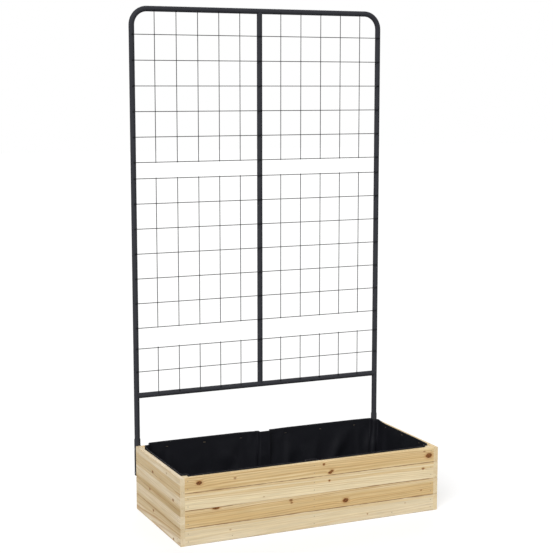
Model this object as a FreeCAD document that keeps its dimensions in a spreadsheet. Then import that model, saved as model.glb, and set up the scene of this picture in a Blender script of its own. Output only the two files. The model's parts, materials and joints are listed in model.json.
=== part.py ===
import FreeCAD, Part
import math
import os

import Sketcher

# A long planter box of tongue-and-groove boards with a steel trellis standing behind it.
# Millimetres, +Z up, +X along the box, the trellis on the +Y side. The origin lies on the
# ground under the middle of the whole object.

SIZES = [
    # name, number, what it is
    ("box_length", 1100, "outside length of the box"),
    ("box_depth", 508, "outside depth of the box"),
    ("course_count", 4, "boards above each other in every wall"),
    ("board_cover", 67, "height that one board shows"),
    ("top_board_cover", 59, "height that the ripped top board shows"),
    ("board_thickness", 19, "thickness of every wall board"),
    ("joint_bevel", 1.5, "bevel along the outer edges of a board"),
    ("tongue_thickness", 6, "thickness of a tongue"),
    ("tongue_height", 6, "height of a tongue"),
    ("tongue_side_gap", 0.2, "play of a tongue to each side"),
    ("tongue_end_gap", 1, "space over the top of a tongue"),
    ("corner_post_width", 24, "side of a square corner post"),
    ("corner_post_drop", 2, "top of a corner post below the rim"),
    ("batten_width", 40, "width of a middle batten"),
    ("batten_depth", 18, "depth of a middle batten"),
    ("batten_drop", 6, "top of a middle batten below the rim"),
    ("ledger_height", 24, "height of a base ledger"),
    ("ledger_depth", 20, "depth of a base ledger"),
    ("ledger_end_gap", 0.5, "space between a ledger and a corner post"),
    ("ledger_nail_slats", 3, "slats from the middle of a long wall to its outer ledger nails"),
    ("slat_count", 9, "slats in the base"),
    ("slat_width", 95, "width of a base slat"),
    ("slat_thickness", 12, "thickness of a base slat"),
    ("slat_end_gap", 2, "space between a slat's end and the wall"),
    ("slat_side_gap", 3, "space between the end slats and the corner posts"),
    ("slat_nail_reach", 25, "slat nails from the middle of a slat"),
    ("edge_ease", 1, "eased edges of posts, battens and slats"),
    ("nail_diameter", 1.8, "shank of a nail"),
    ("nail_head_diameter", 3.4, "head of a nail"),
    ("nail_head_thickness", 0.6, "thickness of a nail's head"),
    ("nail_length", 32, "length of a nail"),
    ("nail_point", 3, "length of a nail's point"),
    ("long_nail_low", 16, "lower nail of a front or back board above its lower edge"),
    ("long_nail_high", 46, "upper nail of a front or back board above its lower edge"),
    ("side_nail_low", 24, "lower nail of a side board above its lower edge"),
    ("side_nail_high", 38, "upper nail of a side board above its lower edge"),
    ("liner_thickness", 1.5, "thickness of the liner"),
    ("liner_gap", 0.3, "space between the liner and the wood"),
    ("liner_front_rise", 4, "liner above the rim at the front and the sides"),
    ("liner_back_rise", 16, "liner above the rim at the back"),
    ("liner_rise_run", 70, "length over which the liner's side edges climb"),
    ("staple_crown", 10, "width of a staple"),
    ("staple_wire", 1, "thickness of a staple's wire"),
    ("staple_leg", 7.5, "length of a staple's legs"),
    ("staple_drop", 9, "staples below the rim"),
    ("long_staple_count", 3, "staples between a corner post and a middle batten"),
    ("side_staple_count", 3, "staples along a side wall"),
    ("trellis_top", 2000, "top of the trellis above the ground"),
    ("post_inset", 10.5, "axis of an outer post from the outer face of the side wall"),
    ("tube_diameter", 22, "outside of the trellis tube"),
    ("tube_wall", 1.2, "wall of the trellis tube"),
    ("bend_radius", 63, "radius of the top bends at the tube's axis"),
    ("upper_joint_height", 1364, "joint between the upper and the middle section"),
    ("lower_joint_height", 697, "joint between the middle and the lower section"),
    ("neck_length", 40, "length of a swaged neck"),
    ("neck_gap", 0.2, "play of a neck in the tube below it"),
    ("neck_shoulder", 4, "length of the widening above a neck"),
    ("seam_bevel", 0.6, "bevel of the tube ends at a joint"),
    ("cope_tip", 3, "blunt tips of a coped tube end short of the other tube's axis"),
    ("crossbar_height", 463, "axis of the crossbar above the ground"),
    ("wire_diameter", 3, "wire of the mesh"),
    ("weld_sink", 0.2, "depth by which welded wires sink into each other"),
    ("wire_overhang", 3, "wire past the last crossing"),
    ("column_count", 12, "columns of the mesh from post to post"),
    ("upper_row_count", 6, "rows in the upper section"),
    ("upper_mesh_rise", 31.6, "lowest row of the upper section above the joint"),
    ("middle_row_count", 7, "rows in the middle section"),
    ("middle_mesh_drop", 32, "top row of the middle section below the joint"),
    ("middle_mesh_rise", 41.6, "lowest row of the middle section above the joint"),
    ("lower_mesh_drop", 42, "top row of the lower section below the joint"),
    ("lower_row_rise", 99, "lower row of the lower section above the crossbar"),
    ("sleeve_wall", 1.2, "wall of a leg sleeve"),
    ("sleeve_gap", 0.3, "play of a post in its leg sleeve"),
    ("sleeve_bottom", 138, "lower end of a leg sleeve above the ground"),
    ("sleeve_rise", 26, "upper end of a leg sleeve above the rim"),
    ("cap_flange", 2, "thickness of a leg cap under the sleeve"),
    ("cap_round", 1.2, "rounded lower edge of a leg cap"),
    ("cap_plug_length", 5, "length of a leg cap's plug"),
    ("cap_plug_gap", 0.2, "play of a leg cap's plug in the post"),
    ("post_end_gap", 1, "space between a post's end and the leg cap"),
    ("bolt_diameter", 5, "shank of a leg bolt"),
    ("bolt_end_out", 2, "end of a leg bolt past its nut"),
    ("bolt_end_bevel", 0.8, "bevel of a leg bolt's end"),
    ("bolt_gap", 0.25, "play of a leg bolt in its holes"),
    ("bolt_head_diameter", 9, "head of a leg bolt"),
    ("bolt_head_height", 3, "height of a leg bolt's head"),
    ("bolt_top_margin", 13, "upper leg bolt below the rim"),
    ("bolt_plug_gap", 2.2, "lower bolt hole above the leg cap's plug"),
    ("nut_width", 8, "nut across its flats"),
    ("nut_height", 4, "height of a nut"),
    ("bracket_thickness", 2, "steel of a leg bracket"),
    ("bracket_wing", 26, "width of a leg bracket on the wall"),
    ("bracket_drop", 3, "top of a leg bracket below the rim"),
    ("bracket_round", 5, "rounded corners of a leg bracket"),
    ("bracket_screw_diameter", 4, "shank of a bracket screw"),
    ("bracket_screw_length", 35, "length of a bracket screw"),
    ("bracket_screw_point", 8, "length of a bracket screw's point"),
    ("bracket_screw_head", 8, "head of a bracket screw"),
    ("bracket_screw_head_height", 2.4, "height of a bracket screw's head"),
    ("bracket_screw_offset", 6, "bracket screws inwards of the corner post's nails"),
    ("bracket_screw_top_margin", 28, "upper bracket screw below the rim"),
    ("bracket_screw_bottom_margin", 27, "lower bracket screw above the sleeve's lower end"),
    ("joint_screw_diameter", 4, "shank of a joint screw"),
    ("joint_screw_length", 7, "length of a joint screw"),
    ("joint_screw_head", 7, "head of a joint screw"),
    ("joint_screw_head_height", 1.4, "height of a joint screw's head"),
    ("joint_screw_bevel", 0.6, "bevel of a joint screw's end"),
    ("joint_screw_drop", 20, "joint screws below a joint"),
    ("screw_tip", 0.3, "radius of a wood screw's tip"),
    ("head_rim", 0.5, "height of the straight rim under a screw's domed head"),
    ("recess_length", 3.6, "length of a cross recess in a screw's head"),
    ("recess_width", 0.9, "width of a cross recess in a screw's head"),
    ("recess_depth", 0.8, "depth of a cross recess in a screw's head"),
]

PLACES = [
    # name, formula, what it is
    ("sleeve_diameter", "sizes.tube_diameter + 2 * (sizes.sleeve_gap + sizes.sleeve_wall)",
     "outside of a leg sleeve"),
    ("front_face", "-(sizes.box_depth + sleeve_diameter) / 2", "y of the front wall's outer face"),
    ("back_face", "(sizes.box_depth - sleeve_diameter) / 2", "y of the back wall's outer face"),
    ("box_middle", "-sleeve_diameter / 2", "y of the box's middle"),
    ("tube_line", "back_face + sleeve_diameter / 2", "y of the trellis tubes' axes"),
    ("side_face", "sizes.box_length / 2", "x of a side wall's outer face"),
    ("inner_side", "side_face - sizes.board_thickness", "x of a side wall's inner face"),
    ("inner_reach", "sizes.box_depth / 2 - sizes.board_thickness",
     "from the box's middle to the inner face of a long wall"),
    ("rim_height", "(sizes.course_count - 1) * sizes.board_cover + sizes.top_board_cover",
     "top of the walls"),
    ("base_top", "sizes.ledger_height + sizes.slat_thickness", "top of the base slats"),
    ("ledger_length", "2 * (inner_side - sizes.corner_post_width - sizes.ledger_end_gap)",
     "length of a ledger"),
    ("slat_room", "2 * (inner_side - sizes.corner_post_width - sizes.slat_side_gap)",
     "room for the slats between the corner posts"),
    ("slat_pitch", "(slat_room - sizes.slat_width) / (sizes.slat_count - 1)", "step from slat to slat"),
    ("ledger_nail_line", "sizes.ledger_nail_slats * slat_pitch", "x of the outer ledger nails"),
    ("long_nail_line", "inner_side - sizes.corner_post_width / 2", "x of the nails into the corner posts"),
    ("side_nail_line", "inner_reach - sizes.corner_post_width / 2",
     "from the box's middle to the side boards' nails"),
    ("post_line", "side_face - sizes.post_inset", "x of the outer posts' axes"),
    ("tube_radius", "sizes.tube_diameter / 2", "outside radius of the tube"),
    ("tube_bore", "tube_radius - sizes.tube_wall", "inside radius of the tube"),
    ("neck_radius", "tube_bore - sizes.neck_gap", "outside radius of a neck"),
    ("neck_bore", "neck_radius - sizes.tube_wall", "inside radius of a neck"),
    ("rail_height", "sizes.trellis_top - tube_radius", "axis of the top rail above the ground"),
    ("sleeve_bore", "sleeve_diameter / 2 - sizes.sleeve_wall", "inside radius of a leg sleeve"),
    ("sleeve_length", "rim_height + sizes.sleeve_rise - sizes.sleeve_bottom", "length of a leg sleeve"),
    ("leg_bottom", "sizes.sleeve_bottom + sizes.post_end_gap", "lower end of an outer post"),
    ("wire_radius", "sizes.wire_diameter / 2", "radius of the wire"),
    ("row_line", "tube_line - tube_radius - wire_radius + sizes.weld_sink", "y of the mesh rows"),
    ("column_line", "row_line + sizes.wire_diameter - sizes.weld_sink", "y of the mesh columns"),
    ("column_pitch", "2 * post_line / sizes.column_count", "distance between the mesh columns"),
    ("upper_row_pitch", "(rail_height - sizes.upper_joint_height - sizes.upper_mesh_rise)"
     " / sizes.upper_row_count", "distance between the rows of the upper section"),
    ("middle_row_pitch", "(sizes.upper_joint_height - sizes.middle_mesh_drop - sizes.lower_joint_height"
     " - sizes.middle_mesh_rise) / (sizes.middle_row_count - 1)",
     "distance between the rows of the middle section"),
    ("column_landing", "sqrt(tube_radius ^ 2 - (tube_line - column_line) ^ 2) - sizes.weld_sink",
     "from a tube's axis up to where a column is welded to it"),
    ("bolt_high", "rim_height - sizes.bolt_top_margin", "upper leg bolt above the ground"),
    ("bolt_hole", "sizes.bolt_diameter / 2 + sizes.bolt_gap", "radius of a bolt's holes"),
    ("bolt_low", "sizes.sleeve_bottom + sizes.cap_plug_length + sizes.bolt_plug_gap + bolt_hole",
     "lower leg bolt above the ground"),
    ("bolt_length", "sleeve_diameter + sizes.bracket_thickness + sizes.nut_height + sizes.bolt_end_out",
     "length of a leg bolt"),
    ("bracket_corner", "post_line - sleeve_diameter / 2", "x of a leg bracket's corner"),
    ("bracket_length", "rim_height - sizes.bracket_drop - sizes.sleeve_bottom", "height of a leg bracket"),
    ("bracket_screw_line", "long_nail_line - sizes.bracket_screw_offset", "x of the bracket screws"),
    ("bracket_screw_high", "rim_height - sizes.bracket_screw_top_margin", "upper bracket screw"),
    ("bracket_screw_low", "sizes.sleeve_bottom + sizes.bracket_screw_bottom_margin", "lower bracket screw"),
    ("liner_bottom", "base_top + sizes.liner_gap", "underside of the liner"),
    ("liner_top", "rim_height + sizes.liner_back_rise", "highest edge of the liner"),
    ("liner_inset", "sizes.liner_gap + sizes.liner_thickness", "liner's inner face from the wood"),
]

doc = FreeCAD.newDocument("planter_with_trellis")


def fill_sheet(name, rows, mark):
    sheet = doc.addObject("Spreadsheet::Sheet", name)
    for row, (alias, content, note) in enumerate(rows, start=1):
        sheet.set(f"A{row}", note)
        sheet.set(f"B{row}", f"{mark}{content}")
        sheet.setAlias(f"B{row}", alias)
    doc.recompute()
    return sheet


sizes = fill_sheet("sizes", SIZES, "")
places = fill_sheet("places", PLACES, "=")
parts = {}
cuts = []


def size(alias):
    return float(getattr(sizes, alias))


def place(alias):
    return float(getattr(places, alias))


# Sketches and features

def new_body(label, turn=0):
    body = doc.addObject("PartDesign::Body", label)
    body.Label = label
    body.Placement = FreeCAD.Placement(FreeCAD.Vector(), FreeCAD.Rotation(FreeCAD.Vector(0, 0, 1), turn))
    parts[label] = body
    return body


def put(item, x="0", y="0", z="0"):
    for axis, formula in (("x", x), ("y", y), ("z", z)):
        item.setExpression(f"Placement.Base.{axis}", formula)


def new_sketch(body, name, role, lift="0"):
    sketch = body.newObject("Sketcher::SketchObject", name)
    plane = next(item for item in body.Origin.OriginFeatures if item.Role == role)
    sketch.AttachmentSupport = [(plane, "")]
    sketch.MapMode = "FlatFace"
    sketch.setExpression("AttachmentOffset.Base.z", lift)
    return sketch


def constrain(sketch, formula, *constraint):
    index = sketch.addConstraint(Sketcher.Constraint(*constraint))
    sketch.setExpression(f"Constraints[{index}]", formula)


def hold_point(sketch, geometry, end, across, up):
    spot = sketch.getPoint(geometry, end)
    for kind, axis, start, formula in (("DistanceX", -2, spot.x, across), ("DistanceY", -1, spot.y, up)):
        if formula == "0":
            sketch.addConstraint(Sketcher.Constraint("PointOnObject", geometry, end, axis))
        else:
            constrain(sketch, formula, kind, geometry, end, start)


def draw_outline(sketch, corners):
    count = len(corners)
    turns = [2 * math.pi * index / count for index in range(count)]
    spots = [FreeCAD.Vector(math.cos(turn), math.sin(turn), 0) for turn in turns]
    first = sketch.GeometryCount
    for index in range(count):
        sketch.addGeometry(Part.LineSegment(spots[index], spots[(index + 1) % count]), False)
    for index in range(count):
        following = first + (index + 1) % count
        sketch.addConstraint(Sketcher.Constraint("Coincident", first + index, 2, following, 1))
    for index, (across, up) in enumerate(corners):
        hold_point(sketch, first + index, 1, across, up)


def draw_circle(sketch, across, up, radius):
    circle = Part.Circle(FreeCAD.Vector(1, 1, 0), FreeCAD.Vector(0, 0, 1), 1)
    geometry = sketch.addGeometry(circle, False)
    hold_point(sketch, geometry, 3, across, up)
    constrain(sketch, radius, "Radius", geometry, 1)


def rectangle(left, right, low, high):
    return [(left, low), (right, low), (right, high), (left, high)]


def pad(body, sketch, name, length, symmetric=False, backwards=False):
    feature = body.newObject("PartDesign::Pad", name)
    feature.Profile = sketch
    feature.setExpression("Length", length)
    feature.SideType = "Symmetric" if symmetric else "One side"
    feature.Reversed = backwards
    sketch.Visibility = False
    return feature


def cut(body, sketch, name, depth=None, symmetric=False, backwards=False):
    feature = body.newObject("PartDesign::Pocket", name)
    feature.Profile = sketch
    feature.SideType = "Symmetric" if symmetric else "One side"
    if depth is None:
        feature.Type = "ThroughAll"
    else:
        feature.setExpression("Length", depth)
    feature.Reversed = backwards
    sketch.Visibility = False
    cuts.append(feature)
    return feature


def drill(body, name, role, centres, radius, depth=None, lift="0", symmetric=False, backwards=False):
    sketch = new_sketch(body, f"{name}_sketch", role, lift)
    for across, up in centres:
        draw_circle(sketch, across, up, radius)
    return cut(body, sketch, name, depth, symmetric, backwards)


def ease_edges(body, feature, name, wanted, radius="sizes.edge_ease", kind="Chamfer"):
    doc.recompute()
    edges = [f"Edge{index}" for index, edge in enumerate(feature.Shape.Edges, start=1) if wanted(edge)]
    eased = body.newObject(f"PartDesign::{kind}", name)
    eased.Base = (feature, edges)
    eased.setExpression("Size" if kind == "Chamfer" else "Radius", radius)
    return eased


def runs_along(edge, axis):
    if not isinstance(edge.Curve, Part.Line):
        return False
    return abs(edge.tangentAt(edge.FirstParameter).dot(axis)) > math.cos(math.radians(1))


AXIS_X = FreeCAD.Vector(1, 0, 0)
AXIS_Y = FreeCAD.Vector(0, 1, 0)
AXIS_Z = FreeCAD.Vector(0, 0, 1)


# Wall boards. A board runs along its own X, its outer face lies on y = 0 and its lower edge on z = 0.

def board_outline(cover, grooved, tongued):
    thickness = "sizes.board_thickness"
    middle = "sizes.board_thickness / 2"
    bevel = "sizes.joint_bevel"
    half = "sizes.tongue_thickness / 2"
    slot = f"{half} + sizes.tongue_side_gap"
    corners = [(bevel, "0"), ("0", bevel), ("0", f"{cover} - {bevel}"), (bevel, cover)]
    if tongued:
        top = f"{cover} + sizes.tongue_height"
        corners += [(f"{middle} - {half}", cover), (f"{middle} - {half}", top)]
        corners += [(f"{middle} + {half}", top), (f"{middle} + {half}", cover), (thickness, cover)]
    else:
        corners += [(f"{thickness} - {bevel}", cover), (thickness, f"{cover} - {bevel}")]
    corners.append((thickness, "0"))
    if grooved:
        depth = "sizes.tongue_height + sizes.tongue_end_gap"
        corners += [(f"{middle} + ({slot})", "0"), (f"{middle} + ({slot})", depth)]
        corners += [(f"{middle} - ({slot})", depth), (f"{middle} - ({slot})", "0")]
    return corners


def bracket_screws_in(bottom, height):
    screws = []
    for name in ("bracket_screw_high", "bracket_screw_low"):
        reach = size("bracket_screw_diameter") / 2
        if bottom - reach < place(name) < bottom + height + reach:
            screws.append(f"places.{name}")
    return screws


def make_board(label, course, turn, length, nail_lines, nail_low, nail_high, x, y):
    top = course == int(size("course_count")) - 1
    cover = "sizes.top_board_cover" if top else "sizes.board_cover"
    lower_edge = f"{course} * sizes.board_cover"
    body = new_body(label, turn)
    profile = new_sketch(body, f"{label}_profile", "YZ_Plane")
    draw_outline(profile, board_outline(cover, course > 0, not top))
    pad(body, profile, f"{label}_run", length, symmetric=True)
    nails = [(line, height) for line in nail_lines for height in (nail_low, nail_high)]
    if course == 0 and label.startswith(("front", "back")):
        nails += [("places.ledger_nail_line", nail_low), ("-places.ledger_nail_line", nail_low)]
    drill(body, f"{label}_nail_holes", "XZ_Plane", nails, "sizes.nail_diameter / 2")
    drill(body, f"{label}_nail_seats", "XZ_Plane", nails, "sizes.nail_head_diameter / 2",
          "sizes.nail_head_thickness")
    if label.startswith("back"):
        bottom = course * size("board_cover")
        height = size("top_board_cover") if top else size("board_cover") + size("tongue_height")
        screws = [(f"{sign}places.bracket_screw_line", f"{screw} - {lower_edge}")
                  for screw in bracket_screws_in(bottom, height) for sign in ("", "-")]
        if screws:
            drill(body, f"{label}_screw_holes", "XZ_Plane", screws, "sizes.bracket_screw_diameter / 2")
    put(body, x, y, lower_edge)


def make_walls():
    long_run = "2 * places.inner_side"
    side_run = "sizes.box_depth"
    long_lines = ["places.long_nail_line", "0", "-places.long_nail_line"]
    side_lines = ["places.side_nail_line", "-places.side_nail_line"]
    long_nails = ("sizes.long_nail_low", "sizes.long_nail_high")
    side_nails = ("sizes.side_nail_low", "sizes.side_nail_high")
    walls = [
        ("front_board", 0, long_run, long_lines, long_nails, "0", "places.front_face"),
        ("back_board", 180, long_run, long_lines, long_nails, "0", "places.back_face"),
        ("left_board", -90, side_run, side_lines, side_nails, "-places.side_face", "places.box_middle"),
        ("right_board", 90, side_run, side_lines, side_nails, "places.side_face", "places.box_middle"),
    ]
    for name, turn, length, lines, nails, x, y in walls:
        for course in range(int(size("course_count"))):
            make_board(f"{name}_{course + 1}", course, turn, length, lines, *nails, x, y)


# Inner frame: corner posts, middle battens, ledgers and slats

def nail_heights(low, high):
    courses = range(int(size("course_count")))
    return [f"{course} * sizes.board_cover + {offset}" for course in courses for offset in (low, high)]


def make_corner_post(label, x_sign, y_sign):
    # The post's outer corner is its origin, and its faces run inwards, against the signs.
    width = "sizes.corner_post_width"
    x_in = f"{'-' if x_sign > 0 else ''}{width}"
    y_in = f"{'-' if y_sign > 0 else ''}{width}"
    body = new_body(label)
    outline = new_sketch(body, f"{label}_outline", "XY_Plane")
    draw_outline(outline, rectangle("0", x_in, "0", y_in))
    post = pad(body, outline, f"{label}_run", "places.rim_height - sizes.corner_post_drop")
    height = place("rim_height") - size("corner_post_drop")
    ease_edges(body, post, f"{label}_eased", lambda edge: abs(edge.CenterOfMass.z - height) < 0.01)
    long_nails = [(f"{x_in} / 2", up) for up in nail_heights("sizes.long_nail_low", "sizes.long_nail_high")]
    side_nails = [(f"{y_in} / 2", up) for up in nail_heights("sizes.side_nail_low", "sizes.side_nail_high")]
    depth = "sizes.nail_length - sizes.board_thickness"
    drill(body, f"{label}_long_nail_holes", "XZ_Plane", long_nails, "sizes.nail_diameter / 2", depth,
          backwards=y_sign > 0)
    drill(body, f"{label}_side_nail_holes", "YZ_Plane", side_nails, "sizes.nail_diameter / 2", depth,
          backwards=x_sign < 0)
    if y_sign > 0:
        across = "places.inner_side - places.bracket_screw_line"
        across = f"-({across})" if x_sign > 0 else across
        screws = [(across, "places.bracket_screw_high"), (across, "places.bracket_screw_low")]
        reach = "sizes.bracket_screw_length - sizes.bracket_thickness - sizes.board_thickness"
        drill(body, f"{label}_screw_holes", "XZ_Plane", screws, "sizes.bracket_screw_diameter / 2", reach,
              backwards=True)
    x_place = f"{'' if x_sign > 0 else '-'}places.inner_side"
    put(body, x_place, f"places.box_middle + {y_sign} * places.inner_reach")


def make_batten(label, turn, y):
    # The batten's outer face lies on y = 0 and its foot on the base.
    height = "places.rim_height - sizes.batten_drop - places.base_top"
    body = new_body(label, turn)
    outline = new_sketch(body, f"{label}_outline", "XY_Plane")
    draw_outline(outline, rectangle("-sizes.batten_width / 2", "sizes.batten_width / 2", "0",
                                    "sizes.batten_depth"))
    run = pad(body, outline, f"{label}_run", height)
    depth = size("batten_depth")
    ease_edges(body, run, f"{label}_eased",
               lambda edge: runs_along(edge, AXIS_Z) and abs(edge.CenterOfMass.y - depth) < 0.01)
    heights = [course * size("board_cover") + size(offset)
               for course in range(int(size("course_count")))
               for offset in ("long_nail_low", "long_nail_high")]
    formulas = nail_heights("sizes.long_nail_low", "sizes.long_nail_high")
    nails = [("0", f"{formula} - places.base_top") for formula, up in zip(formulas, heights)
             if up > place("base_top")]
    drill(body, f"{label}_nail_holes", "XZ_Plane", nails, "sizes.nail_diameter / 2",
          "sizes.nail_length - sizes.board_thickness")
    put(body, "0", y, "places.base_top")


def slat_middles():
    count = int(size("slat_count"))
    return [f"{index - (count - 1) / 2} * places.slat_pitch" for index in range(count)]


def make_ledger(label, turn, y):
    # The ledger's outer face lies on y = 0.
    body = new_body(label, turn)
    outline = new_sketch(body, f"{label}_outline", "YZ_Plane")
    draw_outline(outline, rectangle("0", "sizes.ledger_depth", "0", "sizes.ledger_height"))
    pad(body, outline, f"{label}_run", "places.ledger_length", symmetric=True)
    wall_nails = [(across, "sizes.long_nail_low")
                  for across in ("0", "places.ledger_nail_line", "-places.ledger_nail_line")]
    drill(body, f"{label}_wall_nail_holes", "XZ_Plane", wall_nails, "sizes.nail_diameter / 2",
          "sizes.nail_length - sizes.board_thickness")
    slat_nails = [(f"{middle} {sign} sizes.slat_nail_reach", "sizes.ledger_depth / 2")
                  for middle in slat_middles() for sign in ("+", "-")]
    drill(body, f"{label}_slat_nail_holes", "XY_Plane", slat_nails, "sizes.nail_diameter / 2",
          "sizes.nail_length - sizes.slat_thickness", lift="sizes.ledger_height")
    put(body, "0", y)


def make_slat(label, x):
    half_width = "sizes.slat_width / 2"
    half_length = "(places.inner_reach - sizes.slat_end_gap)"
    nail_line = "(places.inner_reach - sizes.ledger_depth / 2)"
    body = new_body(label)
    outline = new_sketch(body, f"{label}_outline", "XY_Plane")
    draw_outline(outline, rectangle(f"-{half_width}", half_width, f"-{half_length}", half_length))
    run = pad(body, outline, f"{label}_run", "sizes.slat_thickness")
    top = size("slat_thickness")
    ease_edges(body, run, f"{label}_eased",
               lambda edge: runs_along(edge, AXIS_Y) and abs(edge.CenterOfMass.z - top) < 0.01)
    nails = [(f"{x_sign}sizes.slat_nail_reach", f"{y_sign}{nail_line}")
             for x_sign in ("", "-") for y_sign in ("", "-")]
    drill(body, f"{label}_nail_holes", "XY_Plane", nails, "sizes.nail_diameter / 2",
          lift="sizes.slat_thickness")
    drill(body, f"{label}_nail_seats", "XY_Plane", nails, "sizes.nail_head_diameter / 2",
          "sizes.nail_head_thickness", lift="sizes.slat_thickness")
    put(body, x, "places.box_middle", "sizes.ledger_height")


def make_inner_frame():
    for label, x_sign, y_sign in (("corner_post_front_left", -1, -1), ("corner_post_front_right", 1, -1),
                                  ("corner_post_back_left", -1, 1), ("corner_post_back_right", 1, 1)):
        make_corner_post(label, x_sign, y_sign)
    for side, turn, sign in (("front", 0, "-"), ("back", 180, "+")):
        inner_face = f"places.box_middle {sign} places.inner_reach"
        make_batten(f"batten_{side}", turn, inner_face)
        make_ledger(f"ledger_{side}", turn, inner_face)
    for index, middle in enumerate(slat_middles(), start=1):
        make_slat(f"base_slat_{index}", middle)


# Liner: an open bag that follows the walls and goes round the corner posts and the battens

def liner_outline(inset):
    side = f"(places.inner_side - {inset})"
    wall = f"(places.inner_reach - {inset})"
    post_side = f"(places.inner_side - sizes.corner_post_width - {inset})"
    post_wall = f"(places.inner_reach - sizes.corner_post_width - {inset})"
    batten_side = f"(sizes.batten_width / 2 + {inset})"
    batten_wall = f"(places.inner_reach - sizes.batten_depth - {inset})"
    quarter = [(batten_side, batten_wall), (batten_side, wall), (post_side, wall),
               (post_side, post_wall), (side, post_wall)]
    back_right = [(x, y) for x, y in quarter]
    front_right = [(x, f"-{y}") for x, y in reversed(quarter)]
    front_left = [(f"-{x}", f"-{y}") for x, y in quarter]
    back_left = [(f"-{x}", y) for x, y in reversed(quarter)]
    return back_right + front_right + front_left + back_left


def make_liner():
    body = new_body("liner")
    outer = new_sketch(body, "liner_outer", "XY_Plane", "places.liner_bottom")
    draw_outline(outer, liner_outline("sizes.liner_gap"))
    pad(body, outer, "liner_block", "places.liner_top - places.liner_bottom")
    inner = new_sketch(body, "liner_inner", "XY_Plane", "places.liner_bottom + sizes.liner_thickness")
    draw_outline(inner, liner_outline("places.liner_inset"))
    cut(body, inner, "liner_hollow", backwards=True)
    front_edge = "places.rim_height + sizes.liner_front_rise"
    over = "(places.liner_top + sizes.liner_back_rise)"
    climb_start = "places.inner_reach - sizes.liner_rise_run"
    climb_end = "(places.inner_reach - places.liner_inset)"
    edge = [("-sizes.box_depth", front_edge), (climb_start, front_edge), (climb_end, "places.liner_top"),
            (climb_end, over), ("-sizes.box_depth", over)]
    trim = new_sketch(body, "liner_trim", "YZ_Plane")
    draw_outline(trim, edge)
    cut(body, trim, "liner_edge", "2 * sizes.box_length", symmetric=True)
    put(body, "0", "places.box_middle")


# Trellis tubes. A post stands on its own Z axis, and z = 0 is its lower shoulder or end.

def tube_end(height, seamed):
    if seamed:
        return [("places.tube_radius", f"{height} - sizes.seam_bevel"),
                ("places.tube_radius - sizes.seam_bevel", height), ("places.tube_bore", height)]
    return [("places.tube_radius", height), ("places.tube_bore", height)]


def tube_foot(necked):
    if necked:
        return [("places.tube_bore", "sizes.neck_shoulder"), ("places.neck_bore", "0"),
                ("places.neck_bore", "-sizes.neck_length"), ("places.neck_radius", "-sizes.neck_length"),
                ("places.neck_radius", "0"), ("places.tube_radius", "0")]
    return [("places.tube_bore", "0"), ("places.tube_radius", "0")]


def turn_tube(body, label, height, necked, seamed):
    profile = new_sketch(body, f"{label}_profile", "XZ_Plane")
    draw_outline(profile, tube_foot(necked) + tube_end(height, seamed))
    tube = body.newObject("PartDesign::Revolution", f"{label}_turned")
    tube.Profile = profile
    tube.ReferenceAxis = (profile, ["V_Axis"])
    profile.Visibility = False
    return tube


def drill_joints(body, label, *heights):
    holes = [("0", f"{height} - sizes.joint_screw_drop") for height in heights]
    drill(body, f"{label}_screw_holes", "XZ_Plane", holes, "sizes.joint_screw_diameter / 2")


def make_middle_post(label, x):
    length = "(sizes.upper_joint_height - sizes.lower_joint_height)"
    body = new_body(label)
    turn_tube(body, label, length, necked=True, seamed=True)
    drill_joints(body, label, "0", length)
    put(body, x, "places.tube_line", "sizes.lower_joint_height")


def make_lower_post(label, x):
    length = "(sizes.lower_joint_height - places.leg_bottom)"
    body = new_body(label)
    turn_tube(body, label, length, necked=False, seamed=True)
    drill_joints(body, label, length)
    bolts = [("0", "places.bolt_high - places.leg_bottom"), ("0", "places.bolt_low - places.leg_bottom")]
    drill(body, f"{label}_bolt_holes", "YZ_Plane", bolts, "places.bolt_hole", "2 * places.side_face",
          symmetric=True)
    put(body, x, "places.tube_line", "places.leg_bottom")


def make_centre_posts():
    upper = new_body("centre_post_upper")
    rail = "(places.rail_height - sizes.upper_joint_height)"
    turn_tube(upper, "centre_post_upper", f"{rail} - sizes.cope_tip", necked=True, seamed=False)
    drill(upper, "centre_post_upper_cope", "YZ_Plane", [("0", rail)], "places.tube_radius",
          "2 * places.side_face", symmetric=True)
    drill_joints(upper, "centre_post_upper", "0")
    put(upper, "0", "places.tube_line", "sizes.upper_joint_height")

    make_middle_post("centre_post_middle", "0")

    lower = new_body("centre_post_lower")
    foot = "(sizes.crossbar_height + sizes.cope_tip)"
    length = f"(sizes.lower_joint_height - {foot})"
    turn_tube(lower, "centre_post_lower", length, necked=False, seamed=True)
    drill(lower, "centre_post_lower_cope", "YZ_Plane", [("0", "-sizes.cope_tip")], "places.tube_radius",
          "2 * places.side_face", symmetric=True)
    drill_joints(lower, "centre_post_lower", length)
    put(lower, "0", "places.tube_line", foot)


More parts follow.
